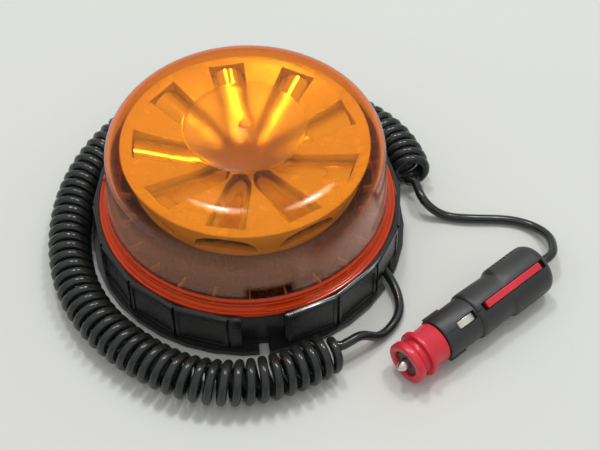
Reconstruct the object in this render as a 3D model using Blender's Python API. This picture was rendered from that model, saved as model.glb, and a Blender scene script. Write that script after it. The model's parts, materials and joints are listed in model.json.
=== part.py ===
"""Amber LED warning beacon: magnetic base, dome lens, curly cord and vehicle plug.

The beacon stands on the XY plane with its axis on +Z. The front, with the lens recess, faces -Y.
The plug lies on the same plane and has its own axes, given by the empty plug_axis.
"""
import math

import bmesh
import bpy
import numpy as np
from mathutils import Matrix, Vector

MM = 0.001

# Gap between pieces that touch, and free play of pieces that turn or slide
CLEAR = 0.3 * MM
PLAY = 0.5 * MM

# Magnetic foot, stacked up from the ground
BOOT_FLOOR = 1.6 * MM
BOOT_WALL = 1.8 * MM
MAGNET_MARGIN = 24.3 * MM
MAGNET_BORE_RADIUS = 11.0 * MM
MAGNET_THICKNESS = 7.0 * MM
KEEPER_THICKNESS = 2.5 * MM
FLOOR_THICKNESS = 2.5 * MM
BOLT_SHANK_RADIUS = 2.6 * MM
BOLT_HEAD_RADIUS = 5.0 * MM
BOLT_HEAD_HEIGHT = 3.2 * MM
NUT_RADIUS = 4.6 * MM
NUT_HEIGHT = 2.2 * MM

# Base housing
PANELS = 18
PANEL_TURN = math.radians(5.4)
RIM_WALL = 1.9 * MM
SIDE_WALL = 2.6 * MM
SIDE_DRAFT = 0.5 * MM
LIP_REACH = 2.2 * MM
LIP_LIFT = 0.6 * MM
LIP_THICKNESS = 2.4 * MM
GROOVE_WIDTH = 1.4 * MM
GROOVE_DEPTH = 1.0 * MM
CHAMBER_HEIGHT = 3.5 * MM
DECK_THICKNESS = 2.5 * MM
DRIVER_LEDGE_WIDTH = 4.0 * MM
SEAT_DEPTH = 3.2 * MM
RECESSES = 3
RECESS_TURN = math.radians(-82.6)
RECESS_WIDTH = 19.5 * MM
RECESS_DEPTH = 3.8 * MM
RECESS_WALL = 1.8 * MM
LIP_SLOT_WIDTH = 4.4 * MM

# Lens dome and its seal
FLANGE_RADIUS = 69.5 * MM
FLANGE_THICKNESS = 2.6 * MM
LENS_HEIGHT = 48.7 * MM
LENS_WALL = 2.4 * MM
FLANGE_WIDTH = 3.9 * MM
LENS_DRAFT = 2.0 * MM
SHOULDER_ROUND = 15.0 * MM
CROWN_DROP = 1.8 * MM
TOP_DISC_RADIUS = 27.4 * MM
TOP_DISC_STEP = 0.4 * MM
GATE_RADIUS = 2.4 * MM
GATE_HEIGHT = 0.6 * MM
LUGS = 3
LUG_TURN = math.radians(-73.6)
LUG_SPAN = math.radians(15.3)
LUG_HEIGHT = 1.5 * MM
LUG_DEPTH = 2.6 * MM
LENS_TWIST = math.radians(9.0)
LEG_SPAN = math.radians(10.0)
LEG_THICKNESS = 1.5 * MM
FOOT_REACH = 2.2 * MM
FOOT_HEIGHT = 1.8 * MM
SEAL_INSET = 2.1 * MM
SEAL_WIDTH = 3.4 * MM
SEAL_THICKNESS = 0.8 * MM

# Tower, boards and LEDs
TOWER_MARGIN = 6.2 * MM
TOWER_HEIGHT = 20.2 * MM
TOWER_WALL = 2.5 * MM
BOSS_RADIUS = 3.4 * MM
TOWER_BOSS_INSET = 5.0 * MM
SCREW_SHANK_RADIUS = 1.4 * MM
SCREW_HEAD_RADIUS = 2.7 * MM
SCREW_HEAD_HEIGHT = 1.5 * MM
SCREW_BITE = 7.0 * MM
DRIVER_MARGIN = 8.0 * MM
DRIVER_THICKNESS = 1.6 * MM
DRIVER_LEDGE = 0.8 * MM
CAPACITOR_RADIUS = 5.0 * MM
CAPACITOR_HEIGHT = 11.0 * MM
INDUCTOR_SIZE = 12.0 * MM
INDUCTOR_HEIGHT = 6.5 * MM
TERMINAL_SIZE = (9.0 * MM, 12.0 * MM, 8.0 * MM)
LED_BOARD_THICKNESS = 1.6 * MM
LEDS = 9
LED_TURN = math.radians(22.4)
LED_CIRCLE = 33.0 * MM
LED_SIZE = 5.0 * MM
LED_HEIGHT = 1.0 * MM

# Optic
OPTIC_MARGIN = 7.6 * MM
OPTIC_FLARE = 4.0 * MM
OPTIC_OVERHANG = 1.0 * MM
OPTIC_HEIGHT = 17.3 * MM
OPTIC_RIM_LAND = 1.4 * MM
OPTIC_SKIRT_WALL = 2.4 * MM
OPTIC_ROOM = 0.8 * MM
OPTIC_FLOOR = 3.5 * MM
FUNNEL_RADIUS = 12.0 * MM
POCKET_VERTEX = 9.0 * MM
POCKET_HALF_WIDTH = 8.2 * MM
POCKET_END_WALL = 2.2 * MM
POCKET_FLOOR = 2.4 * MM
RIDGE_START = 14.0 * MM
RIDGE_END_GAP = 1.2 * MM
RIDGE_DROP = 1.1 * MM
RIDGE_WIDTH_SHARE = 0.86
OPTIC_SCREW_CIRCLE = 5.4 * MM

# Floor screws
FLOOR_SCREWS = 3
FLOOR_SCREW_INSET = 12.9 * MM
FLOOR_SCREW_TURN = math.radians(75.0)
FLOOR_SCREW_BITE = 4.0 * MM

# Cord, its gland and its route over the ground
CORD_DIAMETER = 4.3 * MM
CURL_DIAMETER = 20.4 * MM
CURL_PITCH = 5.47 * MM
CURL_POINTS = 8
CURL_RAMP = 9.0 * MM
CURL_START_TURN = math.radians(-20.0)
CORD_SOCKET = 4.0 * MM
GLAND_INSET = 2.63 * MM
GLAND_HEIGHT = 4.0 * MM
GLAND_TURN = math.radians(-21.56)
GLAND_HEADING = math.radians(-62.0)
GLAND_SNOUT = 7.0 * MM
GLAND_SNOUT_RADIUS = 3.6 * MM
GLAND_BLOCK = 9.0 * MM
GLAND_STEM_RADIUS = 2.6 * MM
CORD_NOTCH_WIDTH = 8.0 * MM
CORD_NOTCH_HEIGHT = 7.6 * MM
INNER_LEAD_DIAMETER = 2.2 * MM
LEAD_ROUTE = (
    (67.6, -35.1, 3.9), (70.4, -43.2, 2.9), (70.6, -51.2, 2.5), (67.2, -59.2, 2.5), (60.8, -65.9, 3.4),
)
COIL_ROUTE = (
    (44.3, -75.5), (34.6, -81.8), (17.3, -91.0), (-3.4, -95.5), (-24.6, -92.2), (-46.4, -80.4),
    (-64.3, -64.3), (-76.7, -44.3), (-82.8, -22.2), (-84.0, 0.0), (-80.4, 21.5), (-72.0, 41.6),
    (-53.7, 64.1), (-28.5, 78.5), (0.0, 84.0), (28.8, 79.2), (48.5, 69.5), (62.6, 58.5),
    (72.3, 46.8), (78.0, 33.8), (81.6, 20.3),
)
TAIL_ROUTE = (
    (93.5, 6.2, 3.4), (104.0, 4.3, 2.5), (118.0, 4.0, 2.4), (129.5, 2.8, 2.5),
    (138.4, -1.6, 3.4), (143.6, -9.0, 5.8), (144.2, -17.6, 9.0),
)

# Plug, with X from the adaptor's front face to the rear and Z through the seam
PLUG_FRONT = Vector((70.7, -85.8, 11.05)) * MM
PLUG_HEADING = math.radians(40.3)
PLUG_PITCH = math.radians(0.45)
PLUG_ROLL = math.radians(26.0)
PLUG_SIDES = 20
ADAPTOR_LENGTH = 18.8 * MM
ADAPTOR_BORE_RADIUS = 6.3 * MM
ADAPTOR_RING_RADIUS = 9.8 * MM
ADAPTOR_RING_LENGTH = 3.6 * MM
ADAPTOR_WAIST_RADIUS = 8.7 * MM
ADAPTOR_FLANGE_RADIUS = 10.5 * MM
ADAPTOR_FLANGE_START = 7.2 * MM
ADAPTOR_FLANGE_LENGTH = 3.4 * MM
ADAPTOR_REAR_RADIUS = 9.5 * MM
NOSE_START = 1.2 * MM
BARREL_RADIUS = 10.3 * MM
BARREL_LENGTH = 19.0 * MM
SHOULDER_RADIUS = 11.4 * MM
NECK_RADIUS = 10.9 * MM
EAR_START = 58.2 * MM
EAR_HALF_WIDTH = 12.4 * MM
GRIP_HALF_HEIGHT = 10.9 * MM
PLUG_LENGTH = 84.2 * MM
REAR_ROUND = 5.0 * MM
SHELL_WALL = 2.4 * MM
WING_LENGTH = 8.0 * MM
WING_WIDTH = 3.2 * MM
WING_PROUD = 0.7 * MM
PIN_LENGTH = 13.0 * MM
PIN_PROUD = 4.1 * MM
PIN_RADIUS = 2.4 * MM
PIN_CONE = 2.3 * MM
PIN_POINT_RADIUS = 0.9 * MM
PIN_COLLAR = 0.7 * MM
PIN_COLLAR_LENGTH = 3.6 * MM
NOSE_LIP = 1.6 * MM
PIN_TRAVEL = 3.0 * MM
SPRING_LENGTH = 4.1 * MM
SPRING_WIRE = 0.6 * MM
SPRING_COILS = 3
FUSE_RADIUS = 2.6 * MM
FUSE_LENGTH = 20.0 * MM
FUSE_TERMINAL_THICKNESS = 1.6 * MM
FUSE_TERMINAL_RADIUS = 6.0 * MM
CONTACT_START = 27.0 * MM
CONTACT_LENGTH = 10.0 * MM
CONTACT_WIDTH = 3.4 * MM
CONTACT_PROUD = 1.2 * MM
CONTACT_DEPTH = 1.9 * MM
CONTACT_TRAVEL = 1.5 * MM
SLIDE_START = 44.1 * MM
SLIDE_LENGTH = 37.1 * MM
SLIDE_WIDTH = 3.4 * MM
SLIDE_HEIGHT = 2.7 * MM
SLIDE_PROUD = 0.35 * MM
SLIDE_TRAVEL = 2.2 * MM

# Heights that follow from the stack
MAGNET_BOTTOM = BOOT_FLOOR + CLEAR
KEEPER_BOTTOM = MAGNET_BOTTOM + MAGNET_THICKNESS + CLEAR
FLOOR_BOTTOM = KEEPER_BOTTOM + KEEPER_THICKNESS + CLEAR
FLOOR_TOP = FLOOR_BOTTOM + FLOOR_THICKNESS
DECK_BOTTOM = FLOOR_TOP + CHAMBER_HEIGHT
SEAT = DECK_BOTTOM + DECK_THICKNESS
BASE_TOP = SEAT + SEAT_DEPTH
FLANGE_BOTTOM = SEAT + CLEAR + SEAL_THICKNESS + CLEAR
FLANGE_TOP = FLANGE_BOTTOM + FLANGE_THICKNESS
LENS_TOP = FLANGE_BOTTOM + LENS_HEIGHT
TOWER_BOTTOM = SEAT + CLEAR
TOWER_TOP = TOWER_BOTTOM + TOWER_HEIGHT
LED_BOARD_BOTTOM = TOWER_TOP + CLEAR
LED_BOTTOM = LED_BOARD_BOTTOM + LED_BOARD_THICKNESS + CLEAR
OPTIC_BOTTOM = LED_BOTTOM
OPTIC_TOP = OPTIC_BOTTOM + OPTIC_HEIGHT
OPTIC_UNDERSIDE = LED_BOTTOM + LED_HEIGHT + OPTIC_ROOM

# Radii and places that follow from the lens flange
SEAT_RADIUS = FLANGE_RADIUS + PLAY
FLAT_RADIUS = SEAT_RADIUS + RIM_WALL
CORNER_RADIUS = FLAT_RADIUS / math.cos(math.pi / PANELS)
CAVITY_RADIUS = FLAT_RADIUS - SIDE_WALL
LIP_RADIUS = CORNER_RADIUS + LIP_REACH
LENS_FOOT_RADIUS = FLANGE_RADIUS - FLANGE_WIDTH
LENS_SHOULDER_RADIUS = LENS_FOOT_RADIUS - LENS_DRAFT
LENS_BORE_RADIUS = LENS_FOOT_RADIUS - LENS_WALL
SEAL_RADIUS = FLANGE_RADIUS - SEAL_INSET
OPTIC_RIM_RADIUS = LENS_SHOULDER_RADIUS - OPTIC_MARGIN
OPTIC_FOOT_RADIUS = OPTIC_RIM_RADIUS - OPTIC_FLARE
TOWER_FOOT_RADIUS = LENS_BORE_RADIUS - TOWER_MARGIN
TOWER_TOP_RADIUS = OPTIC_FOOT_RADIUS - OPTIC_OVERHANG
TOWER_BOSS_CIRCLE = TOWER_FOOT_RADIUS - TOWER_BOSS_INSET
DRIVER_RADIUS = TOWER_BOSS_CIRCLE - DRIVER_MARGIN
DECK_OPENING_RADIUS = DRIVER_RADIUS - DRIVER_LEDGE_WIDTH
FLOOR_SCREW_CIRCLE = FLAT_RADIUS - FLOOR_SCREW_INSET
GLAND_RADIUS = CAVITY_RADIUS - GLAND_INSET
GLAND_MOUTH = Vector((
    GLAND_RADIUS * math.cos(GLAND_TURN), GLAND_RADIUS * math.sin(GLAND_TURN), GLAND_HEIGHT,
))
MAGNET_RADIUS = CAVITY_RADIUS - MAGNET_MARGIN
BOOT_RADIUS = MAGNET_RADIUS + CLEAR + BOOT_WALL

FAR = 0.2
FULL_TURN = 2 * math.pi


def material(name, colour, roughness, metallic=0.0, transmission=0.0):
    """A Principled material in one plain colour."""
    made = bpy.data.materials.new(name)
    made.use_nodes = True
    shader = made.node_tree.nodes["Principled BSDF"]
    shader.inputs["Base Color"].default_value = (*colour, 1.0)
    shader.inputs["Roughness"].default_value = roughness
    shader.inputs["Metallic"].default_value = metallic
    shader.inputs["Transmission Weight"].default_value = transmission
    return made


def solid(name, bm, finish):
    """An object from a bmesh, smooth shaded up to 35 degrees."""
    bmesh.ops.recalc_face_normals(bm, faces=bm.faces)
    mesh = bpy.data.meshes.new(name)
    bm.to_mesh(mesh)
    bm.free()
    mesh.materials.append(finish)
    mesh.shade_smooth()
    mesh.set_sharp_from_angle(angle=math.radians(35))
    made = bpy.data.objects.new(name, mesh)
    bpy.context.collection.objects.link(made)
    return made


def loft(name, rings, finish):
    """A closed solid through rings of points, flat at both ends."""
    bm = bmesh.new()
    rows = [[bm.verts.new(point) for point in ring] for ring in rings]
    count = len(rows[0])
    for lower, upper in zip(rows, rows[1:]):
        for i in range(count):
            j = (i + 1) % count
            bm.faces.new((lower[i], lower[j], upper[j], upper[i]))
    bm.faces.new(rows[0])
    bm.faces.new(rows[-1])
    return solid(name, bm, finish)


def turned(name, profile, steps, finish):
    """A profile of radius and height points, turned about Z."""
    bm = bmesh.new()
    points = [bm.verts.new((radius, 0, height)) for radius, height in profile]
    edges = [bm.edges.new(pair) for pair in zip(points, points[1:])]
    if profile[0][0] > 0 or profile[-1][0] > 0:
        edges.append(bm.edges.new((points[-1], points[0])))
    bmesh.ops.spin(
        bm, geom=points + edges, cent=(0, 0, 0), axis=(0, 0, 1),
        angle=FULL_TURN, steps=steps, use_merge=True,
    )
    bmesh.ops.remove_doubles(bm, verts=bm.verts, dist=0.001 * MM)
    return solid(name, bm, finish)


def disc(name, radius, bottom, top, steps, finish):
    """A plain turned disc or cylinder."""
    return turned(name, [(0, bottom), (radius, bottom), (radius, top), (0, top)], steps, finish)


def ring(name, inner, outer, bottom, top, steps, finish):
    """A turned ring of rectangular section."""
    profile = [(inner, bottom), (outer, bottom), (outer, top), (inner, top)]
    return turned(name, profile, steps, finish)


def block(name, low, high, finish):
    """A box between two corners."""
    (x0, y0, z0), (x1, y1, z1) = low, high
    outline = ((x0, y0), (x1, y0), (x1, y1), (x0, y1))
    return loft(name, [[(x, y, z) for x, y in outline] for z in (z0, z1)], finish)


def arc_block(name, inner, outer, bottom, top, start, span, finish):
    """A block bent round Z, between two radii."""
    steps = max(2, math.ceil(span / math.radians(3)))
    rings = []
    for k in range(steps + 1):
        turn = start + span * k / steps
        rings.append([
            (radius * math.cos(turn), radius * math.sin(turn), height)
            for radius, height in ((inner, bottom), (outer, bottom), (outer, top), (inner, top))
        ])
    return loft(name, rings, finish)


def moved(piece, matrix):
    """The same piece with its mesh moved."""
    piece.data.transform(matrix)
    return piece


def spun(piece, turn):
    return moved(piece, Matrix.Rotation(turn, 4, "Z"))


def around(piece, count):
    """Repeats a piece's mesh evenly round Z, as one mesh of separate bodies."""
    bm = bmesh.new()
    for k in range(count):
        copy = piece.data.copy()
        copy.transform(Matrix.Rotation(FULL_TURN * k / count, 4, "Z"))
        bm.from_mesh(copy)
        bpy.data.meshes.remove(copy)
    bm.to_mesh(piece.data)
    bm.free()
    return piece


def shape_with(target, tool, operation):
    """Adds a Boolean whose tool is kept out of the model."""
    tool.hide_render = True
    tool.display_type = "WIRE"
    step = target.modifiers.new(tool.name, "BOOLEAN")
    step.operation = operation
    step.object = tool
    step.solver = "EXACT"
    seam = target.modifiers.new(f"{tool.name}_weld", "WELD")
    seam.merge_threshold = 0.004 * MM


def cut(target, *tools):
    for tool in tools:
        shape_with(target, tool, "DIFFERENCE")


def add(target, *tools):
    for tool in tools:
        shape_with(target, tool, "UNION")


def arc(centre, radius, start, end, steps):
    """Points of an arc in a profile, from one angle to another."""
    angles = [start + (end - start) * k / steps for k in range(steps + 1)]
    return [(centre[0] + radius * math.cos(a), centre[1] + radius * math.sin(a)) for a in angles]


def natural_bends(points, knots):
    """Second derivatives of the natural cubic through the points."""
    count = len(points)
    gaps = np.diff(knots)
    system = np.eye(count)
    right = np.zeros_like(points)
    for i in range(1, count - 1):
        system[i, i - 1:i + 2] = gaps[i - 1], 2 * (gaps[i - 1] + gaps[i]), gaps[i]
        slopes = np.diff(points[i - 1:i + 2], axis=0) / gaps[i - 1:i + 1, None]
        right[i] = 6 * (slopes[1] - slopes[0])
    return np.linalg.solve(system, right)


def smooth_route(points, step):
    """Evenly spaced points on a smooth curve through the given ones."""
    points = np.array(points, float)
    knots = np.concatenate([[0], np.cumsum(np.linalg.norm(np.diff(points, axis=0), axis=1))])
    bends = natural_bends(points, knots)
    fine = []
    for i, gap in enumerate(np.diff(knots)):
        for share in np.linspace(0, 1, 40, endpoint=False):
            rest = 1 - share
            fine.append(
                rest * points[i] + share * points[i + 1]
                + ((rest ** 3 - rest) * bends[i] + (share ** 3 - share) * bends[i + 1]) * gap ** 2 / 6
            )
    fine = np.array([*fine, points[-1]])
    along = np.concatenate([[0], np.cumsum(np.linalg.norm(np.diff(fine, axis=0), axis=1))])
    places = np.linspace(0, along[-1], max(2, round(along[-1] / step) + 1))
    return np.stack([np.interp(places, along, fine[:, k]) for k in range(3)], axis=1)


def cord_points(route):
    """Points along a cord's route, whose first and last stretches stay straight."""
    points = smooth_route(route, 2 * CORD_DIAMETER)
    points[1] = route[1]
    points[-2] = route[-2]
    return points


def tube(name, points, diameter, sides_level, finish):
    """A round tube along points, with filled ends."""
    curve = bpy.data.curves.new(name, "CURVE")
    curve.dimensions = "3D"
    curve.bevel_depth = diameter / 2
    curve.bevel_resolution = sides_level
    curve.use_fill_caps = True
    spline = curve.splines.new("POLY")
    spline.points.add(len(points) - 1)
    for place, point in zip(spline.points, points):
        place.co = (*point, 1)
    curve.materials.append(finish)
    made = bpy.data.objects.new(name, curve)
    bpy.context.collection.objects.link(made)
    return made


def screw(name, head_bottom, tip, finish):
    """An upright screw on Z: a round head below, and a shank that runs up to its tip."""
    head_top = head_bottom + SCREW_HEAD_HEIGHT
    return turned(name, [
        (0, head_bottom), (SCREW_HEAD_RADIUS, head_bottom), (SCREW_HEAD_RADIUS, head_top),
        (SCREW_SHANK_RADIUS, head_top), (SCREW_SHANK_RADIUS, tip), (0, tip),
    ], 8, finish)


def polar(radius, turn, height=0.0):
    return Vector((radius * math.cos(turn), radius * math.sin(turn), height))


def panel_ring(radius, height):
    """The corners of the base's outline at one height."""
    return [polar(radius, PANEL_TURN + FULL_TURN * k / PANELS, height) for k in range(PANELS)]


def outward_box(name, inner, outer, width, bottom, top, turn, finish):
    """A box that points out from Z at an angle."""
    made = block(name, (inner, -width / 2, bottom), (outer, width / 2, top), finish)
    return spun(made, turn)


def make_base(finish):
    """The housing with its panels, lip, deck, lens seat, recesses, bosses and slots."""
    foot = LIP_LIFT
    base = loft(
        "base_housing",
        [panel_ring(CORNER_RADIUS + SIDE_DRAFT, foot), panel_ring(CORNER_RADIUS, BASE_TOP)],
        finish,
    )
    add(base, disc("base_lip", LIP_RADIUS, foot, foot + LIP_THICKNESS, 36, finish))
    cut(base, disc("base_cavity", CAVITY_RADIUS, -FAR, DECK_BOTTOM, 24, finish))
    cut(base, disc("lens_seat", SEAT_RADIUS, SEAT, FAR, 36, finish))
    cut(base, disc("deck_opening", DECK_OPENING_RADIUS, -FAR, FAR, 24, finish))
    ledge = DRIVER_RADIUS + CLEAR
    cut(base, disc("driver_ledge", ledge, SEAT - DRIVER_LEDGE, FAR, 24, finish))

    recess_back = FLAT_RADIUS - RECESS_DEPTH
    wall_back = recess_back - RECESS_WALL
    wall_width = RECESS_WIDTH + 2 * RECESS_WALL
    middle = FLAT_RADIUS - SIDE_WALL / 2
    wall_top = (DECK_BOTTOM + SEAT) / 2
    wall = outward_box("recess_wall", wall_back, middle, wall_width, foot, wall_top, RECESS_TURN, finish)
    add(base, around(wall, RECESSES))
    floor = foot + LIP_THICKNESS
    recess = outward_box("recess", recess_back, FAR, RECESS_WIDTH, floor, FAR, RECESS_TURN, finish)
    cut(base, around(recess, RECESSES))
    slot_back = recess_back + RECESS_DEPTH / 4
    slot = outward_box("lip_slot", slot_back, FAR, LIP_SLOT_WIDTH, -FAR, FAR, RECESS_TURN, finish)
    cut(base, around(slot, RECESSES))

    groove_start = CORNER_RADIUS - GROOVE_DEPTH
    groove = outward_box("corner_groove", groove_start, FAR, GROOVE_WIDTH, floor, FAR, PANEL_TURN, finish)
    cut(base, around(groove, PANELS))

    leg_inner = LENS_BORE_RADIUS - PLAY
    leg_outer = LENS_BORE_RADIUS + LEG_THICKNESS + PLAY
    play = PLAY / LENS_BORE_RADIUS
    leg_start = LUG_TURN - LEG_SPAN / 2 - LENS_TWIST - play
    leg_room = LEG_SPAN + LENS_TWIST + 2 * play
    track = arc_block("leg_track", leg_inner, leg_outer, -FAR, FAR, leg_start, leg_room, finish)
    cut(base, around(track, LUGS))
    entry_inner = leg_inner - FOOT_REACH
    entry_start = leg_start - play
    entry_room = LENS_TWIST + 2 * play
    entry = arc_block("foot_entry", entry_inner, leg_outer, -FAR, FAR, entry_start, entry_room, finish)
    cut(base, around(entry, LUGS))

    boss_bottom = FLOOR_TOP + CLEAR
    place = Matrix.Translation(polar(FLOOR_SCREW_CIRCLE, FLOOR_SCREW_TURN))
    boss = moved(disc("floor_boss", BOSS_RADIUS, boss_bottom, SEAT - CLEAR, 8, finish), place)
    add(base, around(boss, FLOOR_SCREWS))
    bore_radius = SCREW_SHANK_RADIUS + CLEAR
    bore = moved(disc("floor_bore", bore_radius, -FAR, SEAT - CLEAR * 2, 8, finish), place)
    cut(base, around(bore, FLOOR_SCREWS))
    place = Matrix.Translation(polar(TOWER_BOSS_CIRCLE, LUG_TURN))
    hole = moved(disc("tower_screw_hole", bore_radius, -FAR, FAR, 8, finish), place)
    cut(base, around(hole, LUGS))

    heading = Matrix.Translation(GLAND_MOUTH) @ Matrix.Rotation(GLAND_HEADING, 4, "Z")
    notch_top = CORD_NOTCH_HEIGHT - GLAND_MOUTH.z
    notch = block(
        "cord_notch", (-CORD_NOTCH_WIDTH / 2, -CORD_NOTCH_WIDTH / 2, -FAR),
        (4 * CORD_NOTCH_WIDTH, CORD_NOTCH_WIDTH / 2, notch_top), finish,
    )
    cut(base, moved(notch, heading))
    return base


def make_floor(finish, steel):
    """The plate that closes the base, with its screws."""
    plate = disc("floor_plate", CAVITY_RADIUS - 2 * CLEAR, FLOOR_BOTTOM, FLOOR_TOP, 24, finish)
    wall_back = FLAT_RADIUS - RECESS_DEPTH - RECESS_WALL - CLEAR
    wall_width = RECESS_WIDTH + 2 * RECESS_WALL + 2 * CLEAR
    notch = outward_box("plate_notch", wall_back, FAR, wall_width, -FAR, FAR, RECESS_TURN, finish)
    cut(plate, around(notch, RECESSES))
    place = Matrix.Translation(polar(FLOOR_SCREW_CIRCLE, FLOOR_SCREW_TURN))
    bore_radius = SCREW_SHANK_RADIUS + CLEAR
    hole = moved(disc("plate_screw_hole", bore_radius, -FAR, FAR, 8, finish), place)
    cut(plate, around(hole, FLOOR_SCREWS))
    cut(plate, disc("plate_bolt_hole", BOLT_SHANK_RADIUS + CLEAR, -FAR, FAR, 16, finish))
    stem = disc("plate_stem_hole", GLAND_STEM_RADIUS + CLEAR, -FAR, FAR, 16, finish)
    cut(plate, moved(stem, Matrix.Translation(gland_block_centre())))

    head_bottom = FLOOR_BOTTOM - CLEAR - SCREW_HEAD_HEIGHT
    for k in range(FLOOR_SCREWS):
        tip = FLOOR_TOP + FLOOR_SCREW_BITE
        piece = screw(f"floor_screw_{k + 1}", head_bottom, tip, steel)
        turn = FLOOR_SCREW_TURN + FULL_TURN * k / FLOOR_SCREWS
        moved(piece, Matrix.Translation(polar(FLOOR_SCREW_CIRCLE, turn)))


def make_foot(rubber, ferrite, steel):
    """Rubber boot, ring magnet, steel keeper plate, and the bolt and nut that hold them."""
    boot_top = KEEPER_BOTTOM - CLEAR
    boot_bore = BOOT_RADIUS - BOOT_WALL
    turned(
        "rubber_boot",
        [(0, 0), (BOOT_RADIUS, 0), (BOOT_RADIUS, boot_top), (boot_bore, boot_top),
         (boot_bore, BOOT_FLOOR), (0, BOOT_FLOOR)],
        30, rubber,
    )
    magnet_top = MAGNET_BOTTOM + MAGNET_THICKNESS
    ring("magnet", MAGNET_BORE_RADIUS, MAGNET_RADIUS, MAGNET_BOTTOM, magnet_top, 24, ferrite)
    hole = BOLT_SHANK_RADIUS + CLEAR
    ring("keeper_plate", hole, BOOT_RADIUS, KEEPER_BOTTOM, KEEPER_BOTTOM + KEEPER_THICKNESS, 24, steel)
    head_top = KEEPER_BOTTOM - CLEAR
    nut_bottom = FLOOR_TOP + CLEAR
    bolt_top = nut_bottom + NUT_HEIGHT
    turned(
        "magnet_bolt",
        [(0, head_top - BOLT_HEAD_HEIGHT), (BOLT_HEAD_RADIUS, head_top - BOLT_HEAD_HEIGHT),
         (BOLT_HEAD_RADIUS, head_top), (BOLT_SHANK_RADIUS, head_top), (BOLT_SHANK_RADIUS, bolt_top),
         (0, bolt_top)],
        16, steel,
    )
    ring("magnet_nut", hole / math.cos(math.pi / 6), NUT_RADIUS, nut_bottom, bolt_top, 6, steel)


def gland_block_centre():
    """The point under which the gland's stem goes up through the floor plate."""
    back = GLAND_SNOUT + GLAND_BLOCK / 2
    return Vector((
        GLAND_MOUTH.x - back * math.cos(GLAND_HEADING),
        GLAND_MOUTH.y - back * math.sin(GLAND_HEADING),
        0,
    ))


def make_gland(finish):
    """The elbow that leads the cord out under the base, its snout along the cord."""
    half = GLAND_BLOCK / 2
    low = GLAND_MOUTH.z - GLAND_SNOUT_RADIUS - CLEAR / 2
    heading = Matrix.Translation(GLAND_MOUTH) @ Matrix.Rotation(GLAND_HEADING, 4, "Z")
    floor = FLOOR_BOTTOM - CLEAR
    back = -GLAND_SNOUT - GLAND_BLOCK
    gland = block(
        "cord_gland", (back, -half, low - GLAND_MOUTH.z), (-GLAND_SNOUT, half, floor - GLAND_MOUTH.z), finish,
    )
    moved(gland, heading)
    along_x = Matrix.Rotation(math.pi / 2, 4, "Y")
    snout = turned(
        "gland_snout",
        [(0, -GLAND_SNOUT - half), (GLAND_SNOUT_RADIUS, -GLAND_SNOUT - half),
         (GLAND_SNOUT_RADIUS, -GLAND_SNOUT), (CORD_DIAMETER / 2 + CLEAR * 3, 0), (0, 0)],
        16, finish,
    )
    add(gland, moved(snout, heading @ along_x))
    stem = disc("gland_stem", GLAND_STEM_RADIUS, floor - GLAND_BLOCK / 4, FLOOR_TOP + CLEAR, 16, finish)
    add(gland, moved(stem, Matrix.Translation(gland_block_centre())))
    socket = disc("gland_socket", CORD_DIAMETER / 2 + CLEAR, -CORD_SOCKET, FAR, 16, finish)
    cut(gland, moved(socket, heading @ along_x))


def make_tower(black, steel):
    """The plinth that carries the LED board, open below, with its screws."""
    inner_top = TOWER_TOP - TOWER_WALL
    tower = turned(
        "tower",
        [(TOWER_FOOT_RADIUS - TOWER_WALL, TOWER_BOTTOM), (TOWER_FOOT_RADIUS, TOWER_BOTTOM),
         (TOWER_TOP_RADIUS, TOWER_TOP), (0, TOWER_TOP), (0, inner_top),
         (TOWER_TOP_RADIUS - TOWER_WALL, inner_top)][::-1],
        30, black,
    )
    place = Matrix.Translation(polar(TOWER_BOSS_CIRCLE, LUG_TURN))
    boss_top = TOWER_BOTTOM + SCREW_BITE
    boss = moved(disc("tower_boss", BOSS_RADIUS, TOWER_BOTTOM + CLEAR, boss_top, 8, black), place)
    add(tower, around(boss, LUGS))
    bore_radius = SCREW_SHANK_RADIUS + CLEAR
    bore = moved(disc("tower_bore", bore_radius, -FAR, boss_top - 2 * CLEAR, 8, black), place)
    cut(tower, around(bore, LUGS))
    post_turn = LED_TURN
    for k in range(2):
        hole = disc(f"optic_screw_bore_{k + 1}", bore_radius, -FAR, FAR, 10, black)
        turn = post_turn + math.pi * k
        cut(tower, moved(hole, Matrix.Translation(polar(OPTIC_SCREW_CIRCLE, turn))))

    head_bottom = DECK_BOTTOM - CLEAR - SCREW_HEAD_HEIGHT
    for k in range(LUGS):
        tip = boss_top - 4 * CLEAR
        piece = screw(f"tower_screw_{k + 1}", head_bottom, tip, steel)
        turn = LUG_TURN + FULL_TURN * k / LUGS
        moved(piece, Matrix.Translation(polar(TOWER_BOSS_CIRCLE, turn)))


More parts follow.
